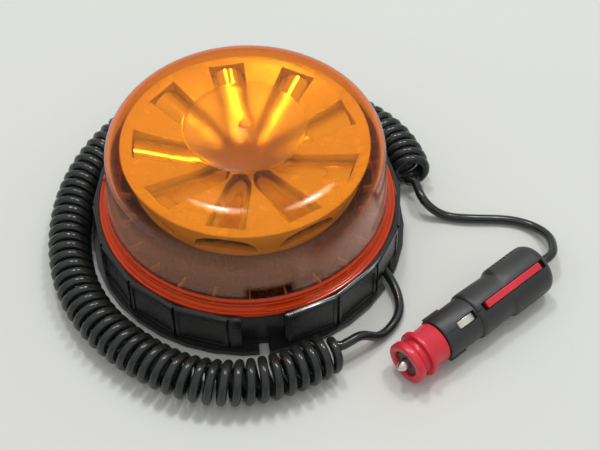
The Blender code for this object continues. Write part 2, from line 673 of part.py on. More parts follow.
def make_driver(board, black, grey, green, copper):
    """The driver board on its ledge in the deck, its parts, and the lead that feeds it."""
    bottom = SEAT - DRIVER_LEDGE + CLEAR
    top = bottom + DRIVER_THICKNESS
    plate = disc("driver_board", DRIVER_RADIUS, bottom, top, 24, board)
    seat = top + CLEAR
    cap = disc("capacitor", CAPACITOR_RADIUS, seat, seat + CAPACITOR_HEIGHT, 16, grey)
    moved(cap, Matrix.Translation((-CAPACITOR_RADIUS * 3, CAPACITOR_RADIUS * 2, 0)))
    half = INDUCTOR_SIZE / 2
    coil = block("inductor", (-half, -half, seat), (half, half, seat + INDUCTOR_HEIGHT), black)
    moved(coil, Matrix.Translation((-INDUCTOR_SIZE, -INDUCTOR_SIZE, 0)))

    entry = gland_block_centre()
    inward = -entry.normalized()
    hole_radius = INNER_LEAD_DIAMETER / 2 + CLEAR
    wire_place = entry + inward * (entry.length - DRIVER_RADIUS / 2)
    hole = disc("wire_hole", hole_radius * 2, -FAR, FAR, 16, board)
    cut(plate, moved(hole, Matrix.Translation(wire_place)))

    sx, sy, sz = TERMINAL_SIZE
    turn = math.atan2(inward.y, inward.x)
    start = hole_radius * 6
    terminal = block("terminal_block", (start, -sy / 2, seat), (start + sx, sy / 2, seat + sz), green)
    moved(terminal, Matrix.Translation(wire_place) @ Matrix.Rotation(turn, 4, "Z"))

    middle = (FLOOR_TOP + DECK_BOTTOM) / 2
    level = seat + sz / 2
    reach = entry.length - DRIVER_RADIUS / 2
    end = wire_place + inward * (start - CLEAR)
    route = [
        entry + Vector((0, 0, middle)),
        entry + inward * reach / 4 + Vector((0, 0, middle)),
        entry + inward * reach / 2 + Vector((0, 0, middle)),
        wire_place - inward * hole_radius * 3 + Vector((0, 0, middle + hole_radius)),
        wire_place + Vector((0, 0, (bottom + top) / 2)),
        end - inward * INNER_LEAD_DIAMETER + Vector((0, 0, level)),
        end + Vector((0, 0, level)),
    ]
    tube("inner_lead", smooth_route(route, 2 * INNER_LEAD_DIAMETER), INNER_LEAD_DIAMETER, 1, copper)


def make_led_ring(board, white):
    """The LED board and the LEDs on it."""
    top = LED_BOARD_BOTTOM + LED_BOARD_THICKNESS
    plate = disc("led_board", TOWER_TOP_RADIUS, LED_BOARD_BOTTOM, top, 30, board)
    for k in range(2):
        turn = LED_TURN + math.pi * k
        hole = disc(f"board_screw_hole_{k + 1}", SCREW_SHANK_RADIUS + CLEAR, -FAR, FAR, 8, board)
        cut(plate, moved(hole, Matrix.Translation(polar(OPTIC_SCREW_CIRCLE, turn))))
    half = LED_SIZE / 2
    for k in range(LEDS):
        led = block(f"led_{k + 1}", (-half, -half, LED_BOTTOM), (half, half, LED_BOTTOM + LED_HEIGHT), white)
        turn = LED_TURN + FULL_TURN * k / LEDS
        moved(led, Matrix.Rotation(turn, 4, "Z") @ Matrix.Translation((LED_CIRCLE, 0, 0)))


def optic_floor_top():
    return OPTIC_UNDERSIDE + OPTIC_FLOOR


def make_optic(silver, steel):
    """The reflector: a funnel on a skirt, a pocket with a round ridge over each LED, and two screws."""
    land = OPTIC_RIM_RADIUS - OPTIC_RIM_LAND
    skirt_bore = OPTIC_FOOT_RADIUS - OPTIC_SKIRT_WALL
    floor = optic_floor_top()
    optic = turned(
        "optic",
        [(0, OPTIC_UNDERSIDE), (skirt_bore, OPTIC_UNDERSIDE), (skirt_bore, OPTIC_BOTTOM),
         (OPTIC_FOOT_RADIUS, OPTIC_BOTTOM), (OPTIC_RIM_RADIUS, OPTIC_TOP), (land, OPTIC_TOP),
         (FUNNEL_RADIUS, floor), (0, floor)],
        36, silver,
    )
    tip = floor - OPTIC_FLOOR / 4
    head_bottom = TOWER_TOP - TOWER_WALL - CLEAR - SCREW_HEAD_HEIGHT
    for k in range(2):
        place = Matrix.Translation(polar(OPTIC_SCREW_CIRCLE, LED_TURN + math.pi * k))
        boss_top = OPTIC_UNDERSIDE + OPTIC_FLOOR / 2
        boss = disc(f"optic_boss_{k + 1}", BOSS_RADIUS, OPTIC_BOTTOM, boss_top, 10, silver)
        add(optic, moved(boss, place))
        bore = disc(f"optic_bore_{k + 1}", SCREW_SHANK_RADIUS + CLEAR, -FAR, tip + CLEAR, 8, silver)
        cut(optic, moved(bore, place))
        piece = screw(f"optic_screw_{k + 1}", head_bottom, tip, steel)
        moved(piece, place)

    bottom = OPTIC_UNDERSIDE + POCKET_FLOOR
    taper = (OPTIC_RIM_RADIUS - OPTIC_FOOT_RADIUS) / OPTIC_HEIGHT
    low_end = OPTIC_FOOT_RADIUS + taper * (bottom - OPTIC_BOTTOM) - POCKET_END_WALL
    high_end = OPTIC_RIM_RADIUS - POCKET_END_WALL
    over = OPTIC_TOP + OPTIC_HEIGHT
    steps = 4
    rings = []
    for height, end in ((bottom, low_end), (OPTIC_TOP, high_end), (over, high_end)):
        reach = end - POCKET_VERTEX
        sides = [k / steps for k in range(-steps, steps + 1)]
        rings.append([(POCKET_VERTEX + reach * s * s, POCKET_HALF_WIDTH * s, height) for s in sides])
    pocket = spun(loft("optic_pocket", rings, silver), LED_TURN)

    sides = 6
    sink = bottom - POCKET_FLOOR / 2
    reach = low_end - POCKET_VERTEX
    rings = []
    for share in (0.0, 0.12, 0.35, 0.65, 1.0):
        radius = RIDGE_START + (low_end - RIDGE_END_GAP - RIDGE_START) * share
        half = RIDGE_WIDTH_SHARE * POCKET_HALF_WIDTH * math.sqrt((radius - POCKET_VERTEX) / reach)
        slope = (OPTIC_TOP - floor) / (land - FUNNEL_RADIUS)
        rise = floor + slope * (radius - FUNNEL_RADIUS) - RIDGE_DROP - sink
        turns = [math.pi * k / sides for k in range(sides + 1)]
        rings.append([(radius, half * math.cos(t), sink + rise * math.sin(t)) for t in turns])
    ridge = spun(loft("optic_ridge", rings, silver), LED_TURN)
    cut(pocket, around(ridge, LEDS))
    cut(optic, around(pocket, LEDS))


def lens_profile():
    """Outer and inner outline of the dome, from the flange's outer foot over the top and back down."""
    shoulder_top = LENS_TOP - CROWN_DROP
    middle = (LENS_SHOULDER_RADIUS - SHOULDER_ROUND, shoulder_top - SHOULDER_ROUND)
    edge = TOP_DISC_STEP
    outer = [
        (FLANGE_RADIUS, FLANGE_BOTTOM), (FLANGE_RADIUS, FLANGE_TOP),
        (LENS_FOOT_RADIUS + edge, FLANGE_TOP), (LENS_FOOT_RADIUS, FLANGE_TOP + edge),
        *arc(middle, SHOULDER_ROUND, 0, math.pi / 2, 5),
        (TOP_DISC_RADIUS + edge, LENS_TOP - edge), (TOP_DISC_RADIUS, LENS_TOP),
        (GATE_RADIUS, LENS_TOP), (GATE_RADIUS, LENS_TOP + GATE_HEIGHT), (0, LENS_TOP + GATE_HEIGHT),
    ]
    inner = [
        (0, LENS_TOP - LENS_WALL), (TOP_DISC_RADIUS, LENS_TOP - LENS_WALL),
        *arc(middle, SHOULDER_ROUND - LENS_WALL, math.pi / 2, 0, 3),
        (LENS_BORE_RADIUS, FLANGE_TOP), (LENS_BORE_RADIUS, FLANGE_BOTTOM),
    ]
    return outer, inner


def make_lens(tinted):
    """The dome, with raised lugs on its flange and bayonet legs below it."""
    outer, inner = lens_profile()
    lens = turned("lens_dome", inner + outer, 36, tinted)
    lug_inner = FLANGE_RADIUS - LUG_DEPTH
    sink = FLANGE_THICKNESS / 2
    start = LUG_TURN - LUG_SPAN / 2
    lug_outer = FLANGE_RADIUS - CLEAR
    lug = arc_block(
        "lens_lug", lug_inner, lug_outer, FLANGE_TOP - sink, FLANGE_TOP + LUG_HEIGHT, start, LUG_SPAN, tinted,
    )
    add(lens, around(lug, LUGS))
    foot_top = DECK_BOTTOM - PLAY
    foot_bottom = foot_top - FOOT_HEIGHT
    start = LUG_TURN - LEG_SPAN / 2
    leg_outer = LENS_BORE_RADIUS + LEG_THICKNESS
    leg = arc_block(
        "lens_leg", LENS_BORE_RADIUS, leg_outer, foot_bottom, FLANGE_BOTTOM + sink, start, LEG_SPAN, tinted,
    )
    add(lens, around(leg, LUGS))
    reach = LENS_BORE_RADIUS - FOOT_REACH + PLAY
    middle = LENS_BORE_RADIUS + LEG_THICKNESS / 2
    span = LENS_TWIST - 2 * PLAY / LENS_BORE_RADIUS
    foot = arc_block("lens_foot", reach, middle, foot_bottom, foot_top, start + PLAY / middle, span, tinted)
    add(lens, around(foot, LUGS))
    return lens


def make_seal(rubber):
    """The flat gasket that the lens flange presses on."""
    half = SEAL_WIDTH / 2
    bottom = SEAT + CLEAR
    ring("lens_seal", SEAL_RADIUS - half, SEAL_RADIUS + half, bottom, bottom + SEAL_THICKNESS, 36, rubber)


def plug_matrix():
    """The plug's axes in the beacon's frame."""
    return (
        Matrix.Translation(PLUG_FRONT)
        @ Matrix.Rotation(PLUG_HEADING, 4, "Z")
        @ Matrix.Rotation(-PLUG_PITCH, 4, "Y")
        @ Matrix.Rotation(PLUG_ROLL, 4, "X")
    )


def coil_points():
    """The curly stretch: an even helix on its route, drawn in to the route at both ends."""
    height = CURL_DIAMETER / 2 + CLEAR / 10
    corners = [(x * MM, y * MM, height) for x, y in COIL_ROUTE]
    axis = smooth_route(corners, CURL_PITCH / CURL_POINTS)
    step = np.linalg.norm(axis[1] - axis[0])
    heading = np.gradient(axis, axis=0)
    heading /= np.linalg.norm(heading, axis=1)[:, None]
    side = np.cross(heading, (0, 0, 1))
    from_end = np.minimum(np.arange(len(axis)), np.arange(len(axis))[::-1]) * step
    share = np.clip(from_end / CURL_RAMP, 0, 1)
    ease = share * share * (3 - 2 * share)
    turn = CURL_START_TURN + np.cumsum(ease) * FULL_TURN / CURL_POINTS
    radius = (CURL_DIAMETER - CORD_DIAMETER) / 2 * ease
    points = axis + radius[:, None] * (np.cos(turn)[:, None] * side + np.sin(turn)[:, None] * (0, 0, 1))
    before = points[0] - heading[0] * CORD_DIAMETER
    after = points[-1] + heading[-1] * CORD_DIAMETER
    return np.array([before, *points, after]), heading[0], heading[-1]


def print_self_gap(name, points, diameter):
    """Prints the least gap that a wound tube keeps to itself, between points further on along it."""
    along = np.concatenate([[0], np.cumsum(np.linalg.norm(np.diff(points, axis=0), axis=1))])
    least = math.inf
    for i, point in enumerate(points):
        later = points[along > along[i] + 3 * diameter]
        if len(later):
            least = min(least, np.linalg.norm(later - point, axis=1).min())
    print(f"{name}: least gap to itself {(least - diameter) / MM:.2f} mm")


def make_cord(finish):
    """The cord in three stretches: from the gland to the curls, the curls, and on to the plug."""
    out = Vector((math.cos(GLAND_HEADING), math.sin(GLAND_HEADING), 0))
    points, first, last = coil_points()
    start = GLAND_MOUTH - out * (CORD_SOCKET - CLEAR)
    end = Vector(points[0]) - Vector(first) * CLEAR
    approach = end - Vector(first) * CORD_DIAMETER
    lead = [start, GLAND_MOUTH, *(Vector(p) * MM for p in LEAD_ROUTE), approach, end]
    tube("cord_lead", cord_points(lead), CORD_DIAMETER, 2, finish)

    tube("cord_coil", points, CORD_DIAMETER, 1, finish)
    print_self_gap("cord_coil", points, CORD_DIAMETER)

    begin = Vector(points[-1]) + Vector(last) * CLEAR
    leave = begin + Vector(last) * CORD_DIAMETER
    place = plug_matrix()
    rear = [place @ Vector((x, 0, 0)) for x in (
        PLUG_LENGTH + 2 * CORD_DIAMETER, PLUG_LENGTH + CORD_DIAMETER, PLUG_LENGTH - CORD_SOCKET + CLEAR,
    )]
    tail = [begin, leave, *(Vector(p) * MM for p in TAIL_ROUTE), *rear]
    tube("cord_tail", cord_points(tail), CORD_DIAMETER, 2, finish)


def oval(x, half_width, half_height):
    """A ring of points across the plug."""
    turns = [FULL_TURN * k / PLUG_SIDES for k in range(PLUG_SIDES)]
    return [(x, half_width * math.cos(t), half_height * math.sin(t)) for t in turns]


def barrel_start():
    return ADAPTOR_LENGTH + CLEAR


def shoulder_start():
    return barrel_start() + BARREL_LENGTH


def spring_start():
    return pin_rear() + PIN_TRAVEL + CLEAR


def fuse_start():
    return spring_start() + SPRING_LENGTH + CLEAR


def pin_rear():
    return PIN_LENGTH - PIN_PROUD


def nose_radius():
    return ADAPTOR_BORE_RADIUS - CLEAR


def plug_body(name, side, finish):
    """One half of the plug: nose, barrel, shoulder and grip with its ear."""
    nose = nose_radius()
    edge = 2 * CLEAR
    front = barrel_start()
    shoulder = shoulder_start()
    rear = PLUG_LENGTH - REAR_ROUND
    shell = loft(name, [
        oval(NOSE_START, nose - edge, nose - edge), oval(NOSE_START + edge, nose, nose),
        oval(front, nose, nose), oval(front, BARREL_RADIUS - edge, BARREL_RADIUS - edge),
        oval(front + edge, BARREL_RADIUS, BARREL_RADIUS), oval(shoulder, BARREL_RADIUS, BARREL_RADIUS),
        oval(shoulder, SHOULDER_RADIUS - edge, SHOULDER_RADIUS - edge),
        oval(shoulder + edge, SHOULDER_RADIUS, SHOULDER_RADIUS),
        oval(EAR_START - edge, NECK_RADIUS, GRIP_HALF_HEIGHT),
        oval(EAR_START, EAR_HALF_WIDTH, GRIP_HALF_HEIGHT), oval(rear, EAR_HALF_WIDTH, GRIP_HALF_HEIGHT),
        oval(rear + REAR_ROUND / 2, EAR_HALF_WIDTH - REAR_ROUND / 5, GRIP_HALF_HEIGHT - REAR_ROUND / 5),
        oval(PLUG_LENGTH, EAR_HALF_WIDTH - REAR_ROUND / 1.5, GRIP_HALF_HEIGHT - REAR_ROUND / 1.5),
    ], finish)

    wing_out = BARREL_RADIUS + WING_PROUD
    half = WING_WIDTH / 2
    wing = block(
        f"{name}_wing", (front + edge, side * (BARREL_RADIUS - SHELL_WALL / 2), -half),
        (front + edge + WING_LENGTH, side * wing_out, half), finish,
    )
    add(shell, wing)

    pin_hole = PIN_RADIUS + CLEAR
    pin_bore = PIN_RADIUS + PIN_COLLAR + CLEAR
    lip = NOSE_START + NOSE_LIP
    barrel_room = front + SHELL_WALL
    barrel_bore = BARREL_RADIUS - SHELL_WALL
    grip_room = shoulder + SHELL_WALL
    room_width = NECK_RADIUS - SHELL_WALL
    room_height = GRIP_HALF_HEIGHT - SHELL_WALL - SLIDE_HEIGHT / 2
    room_end = PLUG_LENGTH - CORD_SOCKET - SHELL_WALL
    cut(shell, loft(f"{name}_room", [
        oval(-FAR, pin_hole, pin_hole), oval(lip, pin_hole, pin_hole), oval(lip, pin_bore, pin_bore),
        oval(barrel_room, pin_bore, pin_bore), oval(barrel_room, barrel_bore, barrel_bore),
        oval(grip_room, barrel_bore, barrel_bore), oval(grip_room, room_width, room_height),
        oval(room_end, room_width, room_height),
    ], finish))
    socket = CORD_DIAMETER / 2 + CLEAR
    cut(shell, loft(f"{name}_socket", [
        oval(PLUG_LENGTH - CORD_SOCKET, socket, socket), oval(FAR, socket, socket),
    ], finish))

    slot = CONTACT_WIDTH / 2 + CLEAR
    slot_end = CONTACT_START + CONTACT_LENGTH + CLEAR
    cut(shell, block(
        f"{name}_contact_slot", (CONTACT_START - CLEAR, -slot, -FAR), (slot_end, slot, FAR), finish,
    ))
    slot = SLIDE_WIDTH / 2 + CLEAR
    slide_floor = GRIP_HALF_HEIGHT + SLIDE_PROUD - SLIDE_HEIGHT - CLEAR
    cut(shell, block(
        f"{name}_slide_slot", (SLIDE_START - SLIDE_TRAVEL - CLEAR, -slot, slide_floor),
        (SLIDE_START + SLIDE_LENGTH + SLIDE_TRAVEL + CLEAR, slot, FAR), finish,
    ))
    seam = CLEAR / 2
    near, far = sorted((side * seam, -side * FAR))
    cut(shell, block(f"{name}_other_side", (-FAR, near, -FAR), (FAR, far, FAR), finish))
    return shell


def make_adaptor(red):
    """The red sleeve over the plug's nose."""
    flange_end = ADAPTOR_FLANGE_START + ADAPTOR_FLANGE_LENGTH
    edge = 2 * CLEAR
    sleeve = turned("adaptor_sleeve", [
        (ADAPTOR_BORE_RADIUS, ADAPTOR_LENGTH), (ADAPTOR_BORE_RADIUS, 0), (ADAPTOR_RING_RADIUS - edge, 0),
        (ADAPTOR_RING_RADIUS, edge), (ADAPTOR_RING_RADIUS, ADAPTOR_RING_LENGTH),
        (ADAPTOR_WAIST_RADIUS, ADAPTOR_RING_LENGTH + edge),
        (ADAPTOR_WAIST_RADIUS, ADAPTOR_FLANGE_START - edge),
        (ADAPTOR_FLANGE_RADIUS, ADAPTOR_FLANGE_START), (ADAPTOR_FLANGE_RADIUS, flange_end),
        (ADAPTOR_REAR_RADIUS, flange_end + edge), (ADAPTOR_REAR_RADIUS, ADAPTOR_LENGTH),
    ], 20, red)
    return moved(sleeve, Matrix.Rotation(math.pi / 2, 4, "Y"))


def make_pin(nickel):
    """The sprung tip contact, with the collar that the nose's lip holds back."""
    tip = -PIN_PROUD
    collar = PIN_RADIUS + PIN_COLLAR
    collar_front = NOSE_START + NOSE_LIP + CLEAR
    pin = turned("tip_contact", [
        (0, tip), (PIN_POINT_RADIUS, tip), (PIN_RADIUS, tip + PIN_CONE), (PIN_RADIUS, collar_front),
        (collar, collar_front), (collar, collar_front + PIN_COLLAR_LENGTH),
        (PIN_RADIUS, collar_front + PIN_COLLAR_LENGTH), (PIN_RADIUS, pin_rear()), (0, pin_rear()),
    ], 12, nickel)
    return moved(pin, Matrix.Rotation(math.pi / 2, 4, "Y"))


def make_spring(steel):
    """The wound spring behind the tip contact, at its pressed length."""
    start = spring_start() + SPRING_WIRE / 2
    room = SPRING_LENGTH - SPRING_WIRE
    radius = PIN_RADIUS - SPRING_WIRE / 2
    count = SPRING_COILS * CURL_POINTS
    turns = np.linspace(0, SPRING_COILS * FULL_TURN, count + 1)
    along = start + room * np.arange(count + 1) / count
    points = np.stack([along, radius * np.cos(turns), radius * np.sin(turns)], axis=1)
    print_self_gap("tip_spring", points, SPRING_WIRE)
    return tube("tip_spring", points, SPRING_WIRE, 1, steel)


def make_fuse(glass, brass):
    """The fuse behind the spring, and the plate that it rests against."""
    along_x = Matrix.Rotation(math.pi / 2, 4, "Y")
    start = fuse_start()
    end = start + FUSE_LENGTH
    fuse = moved(disc("fuse", FUSE_RADIUS, start, end, 12, glass), along_x)
    front = end + CLEAR
    back = front + FUSE_TERMINAL_THICKNESS
    plate = moved(disc("fuse_terminal", FUSE_TERMINAL_RADIUS, front, back, 16, brass), along_x)
    return fuse, plate


def make_side_contact(name, side, nickel):
    """A sprung side contact that bulges out of its slot in the barrel."""
    base = BARREL_RADIUS - CONTACT_DEPTH
    crest = BARREL_RADIUS + CONTACT_PROUD
    steps = 6
    top = [
        (CONTACT_START + CONTACT_LENGTH * k / steps,
         base + CONTACT_DEPTH / 2 + (crest - base - CONTACT_DEPTH / 2) * math.sin(math.pi * k / steps))
        for k in range(steps + 1)
    ]
    outline = [(CONTACT_START, base), *top, (CONTACT_START + CONTACT_LENGTH, base)]
    half = CONTACT_WIDTH / 2
    rings = [[(x, y, side * z) for x, z in outline] for y in (-half, half)]
    return loft(name, rings, nickel)


def make_slide(red):
    """The red locking bar in the slot along the grip."""
    top = GRIP_HALF_HEIGHT + SLIDE_PROUD
    half = SLIDE_WIDTH / 2
    return block(
        "lock_slide", (SLIDE_START, -half, top - SLIDE_HEIGHT), (SLIDE_START + SLIDE_LENGTH, half, top), red,
    )


def make_plug(black, red, nickel, steel, glass, brass):
    """All pieces of the plug, on its own axes."""
    axis = bpy.data.objects.new("plug_axis", None)
    axis.matrix_world = plug_matrix()
    before = set(bpy.context.collection.objects)
    bpy.context.collection.objects.link(axis)
    before.add(axis)
    plug_body("plug_shell_left", 1, black)
    plug_body("plug_shell_right", -1, black)
    make_adaptor(red)
    make_pin(nickel)
    make_spring(steel)
    make_fuse(glass, brass)
    make_side_contact("side_contact_upper", 1, nickel)
    make_side_contact("side_contact_lower", -1, nickel)
    make_slide(red)
    for piece in set(bpy.context.collection.objects) - before:
        piece.parent = axis


def main():
    for old in list(bpy.data.objects):
        bpy.data.objects.remove(old)
    black = material("base_black", (0.02, 0.022, 0.022), 0.45)
    dark = material("cord_black", (0.025, 0.027, 0.027), 0.5)
    rubber = material("rubber", (0.015, 0.015, 0.015), 0.8)
    ferrite = material("ferrite", (0.07, 0.07, 0.075), 0.6)
    steel = material("steel", (0.6, 0.6, 0.6), 0.35, 1.0)
    nickel = material("nickel", (0.75, 0.73, 0.68), 0.2, 1.0)
    brass = material("brass", (0.72, 0.55, 0.25), 0.3, 1.0)
    tinted = material("lens_amber", (1.0, 0.4, 0.05), 0.03, 0.0, 1.0)
    silver = material("optic_silver", (0.88, 0.88, 0.87), 0.25, 0.8)
    board = material("board_white", (0.8, 0.8, 0.78), 0.5)
    green = material("board_green", (0.05, 0.25, 0.1), 0.5)
    white = material("led_white", (0.9, 0.85, 0.55), 0.4)
    grey = material("capacitor_grey", (0.3, 0.3, 0.32), 0.4)
    red = material("plug_red", (0.72, 0.02, 0.05), 0.3)
    glass = material("fuse_glass", (0.8, 0.85, 0.85), 0.05, 0.0, 0.8)

    make_foot(rubber, ferrite, steel)
    make_floor(black, steel)
    make_base(black)
    make_gland(dark)
    make_tower(black, steel)
    make_driver(green, black, grey, green, dark)
    make_led_ring(board, white)
    make_optic(silver, steel)
    make_seal(rubber)
    make_lens(tinted)
    make_cord(dark)
    make_plug(black, red, nickel, steel, glass, brass)


main()
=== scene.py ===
"""Looks of the magnetic LED warning beacon: shapes, finishes, light and camera."""

import json
import math

import bmesh
import bpy
import numpy as np
from mathutils import Matrix, Vector


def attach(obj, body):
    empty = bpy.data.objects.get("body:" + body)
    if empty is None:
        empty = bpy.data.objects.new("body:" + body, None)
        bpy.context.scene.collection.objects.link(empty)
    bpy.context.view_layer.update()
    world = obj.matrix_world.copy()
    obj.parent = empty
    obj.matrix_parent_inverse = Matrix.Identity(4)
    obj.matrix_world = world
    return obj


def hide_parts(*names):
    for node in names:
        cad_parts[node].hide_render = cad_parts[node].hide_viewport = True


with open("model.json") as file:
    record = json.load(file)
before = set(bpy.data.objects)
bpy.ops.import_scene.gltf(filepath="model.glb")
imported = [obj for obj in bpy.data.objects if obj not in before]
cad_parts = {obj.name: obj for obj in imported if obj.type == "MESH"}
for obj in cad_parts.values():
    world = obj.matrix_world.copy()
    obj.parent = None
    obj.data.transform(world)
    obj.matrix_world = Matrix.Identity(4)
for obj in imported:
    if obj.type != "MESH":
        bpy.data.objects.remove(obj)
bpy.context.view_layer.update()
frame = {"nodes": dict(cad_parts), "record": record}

MM = 0.001
FULL_TURN = 2 * math.pi
scene = bpy.context.scene

# Camera, in millimetres and degrees
CAMERA_LENS = 69.0
CAMERA_SENSOR = 36.0
CAMERA_NEAR = 10.0
CAMERA_PLACE = (24.8, -356.2, 433.3)
CAMERA_AIM = (24.84, 1.1, 0.0)
CAMERA_ROLL = 0.53

# Sizes shared with the solids, in millimetres and degrees
FLANGE_BOTTOM = 21.9
FLANGE_TOP = 24.5
FLANGE_RADIUS = 69.5
LENS_BORE = 63.2
LENS_TOP = 70.6
LENS_WALL = 2.4
SHOULDER_ROUNDS = (((43.56, 41.35), 28.0), ((49.39, 53.86), 14.2))
LUGS = 3
LUG_TURN = -73.6
LUG_SPAN = 15.3
LEG_SPAN = 10.0
BOARD_TOP = 42.9
OPTIC_BOTTOM = 43.2
OPTIC_TOP = 60.5
OPTIC_RIM = 56.0
LEDS = 9
LED_TURN = 22.4
PANELS = 18
PANEL_TURN = 5.4
PANEL_FOOT = 4.6
PANEL_HEAD = 21.0
FLAT_RADIUS = 71.8
BASE_TOP = 23.7
RECESS_TURN = -82.6
CORD_DIAMETER = 4.3
CURL_DIAMETER = 20.4
CURL_PITCH = 5.47
CURL_RAMP = 9.0
CURL_START_TURN = -20.0
CURL_POINTS = 16
GLAND_MOUTH = (62.0, -24.5, 4.0)
GLAND_HEADING = -62.0
CORD_SOCKET = 4.0
PLUG_FRONT = (70.7, -85.8, 11.05)
PLUG_HEADING = 40.3
PLUG_PITCH = 0.45
PLUG_ROLL = 26.0
PLUG_LENGTH = 84.2
GAP = 0.3

LEAD_ROUTE = (
    (67.6, -35.1, 3.9), (70.4, -43.2, 2.9), (70.6, -51.2, 2.5), (67.2, -59.2, 2.5),
    (60.8, -65.9, 3.4),
)
COIL_ROUTE = (
    (44.3, -75.5), (34.6, -81.8), (17.3, -91.0), (-3.4, -95.5), (-24.6, -92.2), (-46.4, -80.4),
    (-64.3, -64.3), (-76.7, -44.3), (-82.8, -22.2), (-84.0, 0.0), (-80.4, 21.5), (-72.0, 41.6),
    (-53.7, 64.1), (-28.5, 78.5), (0.0, 84.0), (28.8, 79.2), (48.5, 69.5), (62.6, 58.5),
    (72.3, 46.8), (78.0, 33.8), (81.6, 20.3),
)
TAIL_ROUTE = (
    (93.5, 6.2, 3.4), (104.0, 4.3, 2.5), (118.0, 4.0, 2.4), (129.5, 2.8, 2.5),
    (138.4, -1.6, 3.4), (143.6, -9.0, 5.8), (144.2, -17.6, 9.0),
)
ROUTE_STEP = 2.5
ROUTE_FINE = 60

# Dome: sections of (radius, height) in millimetres, and its shallow round top
LENS_STEPS = 160
LENS_DISC = (
    (0, 71.2), (1.9, 71.2), (2.3, 71.05), (2.5, 70.7), (2.8, LENS_TOP), (14, LENS_TOP),
    (26.8, LENS_TOP), (27.3, 70.52), (27.5, 70.28),
)
LENS_FOOT = (
    (64.2, 45.0), (64.9, 35.0), (65.2, 30.2), (65.5, 29.6), (66.3, 29.2), (66.5, 28.8), (66.5, 27.6),
    (66.25, 27.3), (66.25, 26.9), (66.6, 26.6), (66.7, 25.6), (66.9, 25.1), (67.2, 24.85), (67.45, 24.7),
    (67.6, 24.3), (67.9, 24.2), (68.2, 24.3), (68.35, FLANGE_TOP), (69.0, FLANGE_TOP), (69.35, 24.4),
    (FLANGE_RADIUS, 24.1), (FLANGE_RADIUS, 22.3), (69.3, 22.0), (69.0, FLANGE_BOTTOM),
    (LENS_BORE, FLANGE_BOTTOM), (LENS_BORE, FLANGE_TOP), (62.5, 35.0), (61.8, 45.0),
)
LENS_UNDERSIDE = ((26.6, 68.1), (25.0, 68.2), (0, 68.2))
CROWN_TOP, CROWN_DROP, CROWN_REACH = 70.2, 1.54, 22.8
CROWN_START, CROWN_END = 27.8, 46.3
UNDER_TOP, UNDER_DROP, UNDER_REACH = 67.8, 1.5, 22.9
UNDER_START, UNDER_END = 27.4, 46.1
WIDE_TURNS = (83.5, 65)
TIGHT_TURNS = (62, 4)
LUG_SECTION = ((66.9, 23.2), (69.2, 23.2), (69.2, 25.6), (68.8, 26.0), (67.3, 26.0), (66.9, 25.6))
LEG_SECTION = ((63.25, 15.7), (64.7, 15.7), (64.7, 23.0), (63.25, 23.0))
HOOK_SECTION = ((61.5, 15.7), (63.9, 15.7), (63.9, 17.5), (61.5, 17.5))
HOOK_LAG = 0.5
HOOK_SPAN = 8.1

# Reflector
OPTIC_STEPS = 180
OPTIC_SECTION = (
    (0, 45.0), (49.6, 45.0), (49.6, OPTIC_BOTTOM), (52.0, OPTIC_BOTTOM), (54.0, 51.8),
    (OPTIC_RIM - 0.2, OPTIC_TOP - 0.4), (OPTIC_RIM - 0.5, OPTIC_TOP),
)
OPTIC_LAND = 1.4
FUNNEL_FLOOR = 48.5
FUNNEL_RISE = 12.0
FUNNEL_START = 12.0
FUNNEL_REACH = 42.6
FUNNEL_BEND = 1.06
CELL_VERTEX = 11.0
CELL_END = 50.6
CELL_FLOOR = 45.5
CELL_RISE = 0.17
CELL_HALF_WIDTH = 5.6
CELL_FLARE = 0.075
CELL_ROUND = 3.0
CELL_POINTS = 20
CELL_DRAFT = 0.3
CELL_END_DRAFT = 1.2
CELL_CLEAR = 10.0
ARCH_WIDTH = 13.6
ARCH_FOOT = 45.4
ARCH_HEIGHT = 12.4
ARCH_SQUARE = 0.7
ARCH_POINTS = 25
ARCH_BACK = 50.3
ARCH_LEAN = 0.2
ARCH_FRONT = 60.0
SHADE_INSIDE = 49.8
SHADE_OUTSIDE = 51.0
SHADE_LEAN = 0.22
SHADE_TOP = 58.0
RIDGE_START = 0.6
RIDGE_END_GAP = 1.6
RIDGE_FIRST_SHARE = 0.05
RIDGE_WIDTH_SHARE = 0.96
RIDGE_DROP = 1.1
RIDGE_SINK = 0.3
RIDGE_RINGS = 20
RIDGE_POINTS = 17

# Inside the dome
INSIDE_STEPS = 96
PLINTH_SECTION = (
    (0, 41.0), (50.4, 41.0), (50.8, 40.8), (51.0, 40.4), (56.7, 21.6), (57.0, 20.8), (54.5, 20.8),
    (48.5, 38.5), (0, 38.5),
)
BOARD_SECTION = ((0, BOARD_TOP), (50.8, BOARD_TOP), (51.0, BOARD_TOP - 0.2), (51.0, 41.3), (0, 41.3))
WEBS = 24
WEB_TURN = -87.0
WEB_CORNERS = ((55.6, -0.3, 21.2), (62.2, 0.3, 25.6))
CATCH_TURN = -86.0
CATCH_SPAN = 13.0
CATCH_SECTION = ((57.2, 21.2), (62.4, 21.2), (62.4, 27.5), (60.6, 31.5), (57.2, 33.0))
SEAL_SECTION = ((65.7, 20.8), (69.1, 20.8), (69.1, 21.6), (65.7, 21.6), (65.7, 20.8))

# Base: the (flat radius, height) of its envelope, and the frames cut round its panels
ENVELOPE = (
    (95, -6), (95, -0.3), (FLAT_RADIUS, BASE_TOP - 0.8), (71.35, BASE_TOP - 0.25), (70.0, BASE_TOP + 0.02),
)
RECESS_HALF_SPAN = 9.0
FRAME_HALF_WIDTH = 10.6
FRAME_DEPTH = 9.0
FRAME_BACKS = ((PANEL_FOOT, 0.05), (PANEL_HEAD, -0.3))

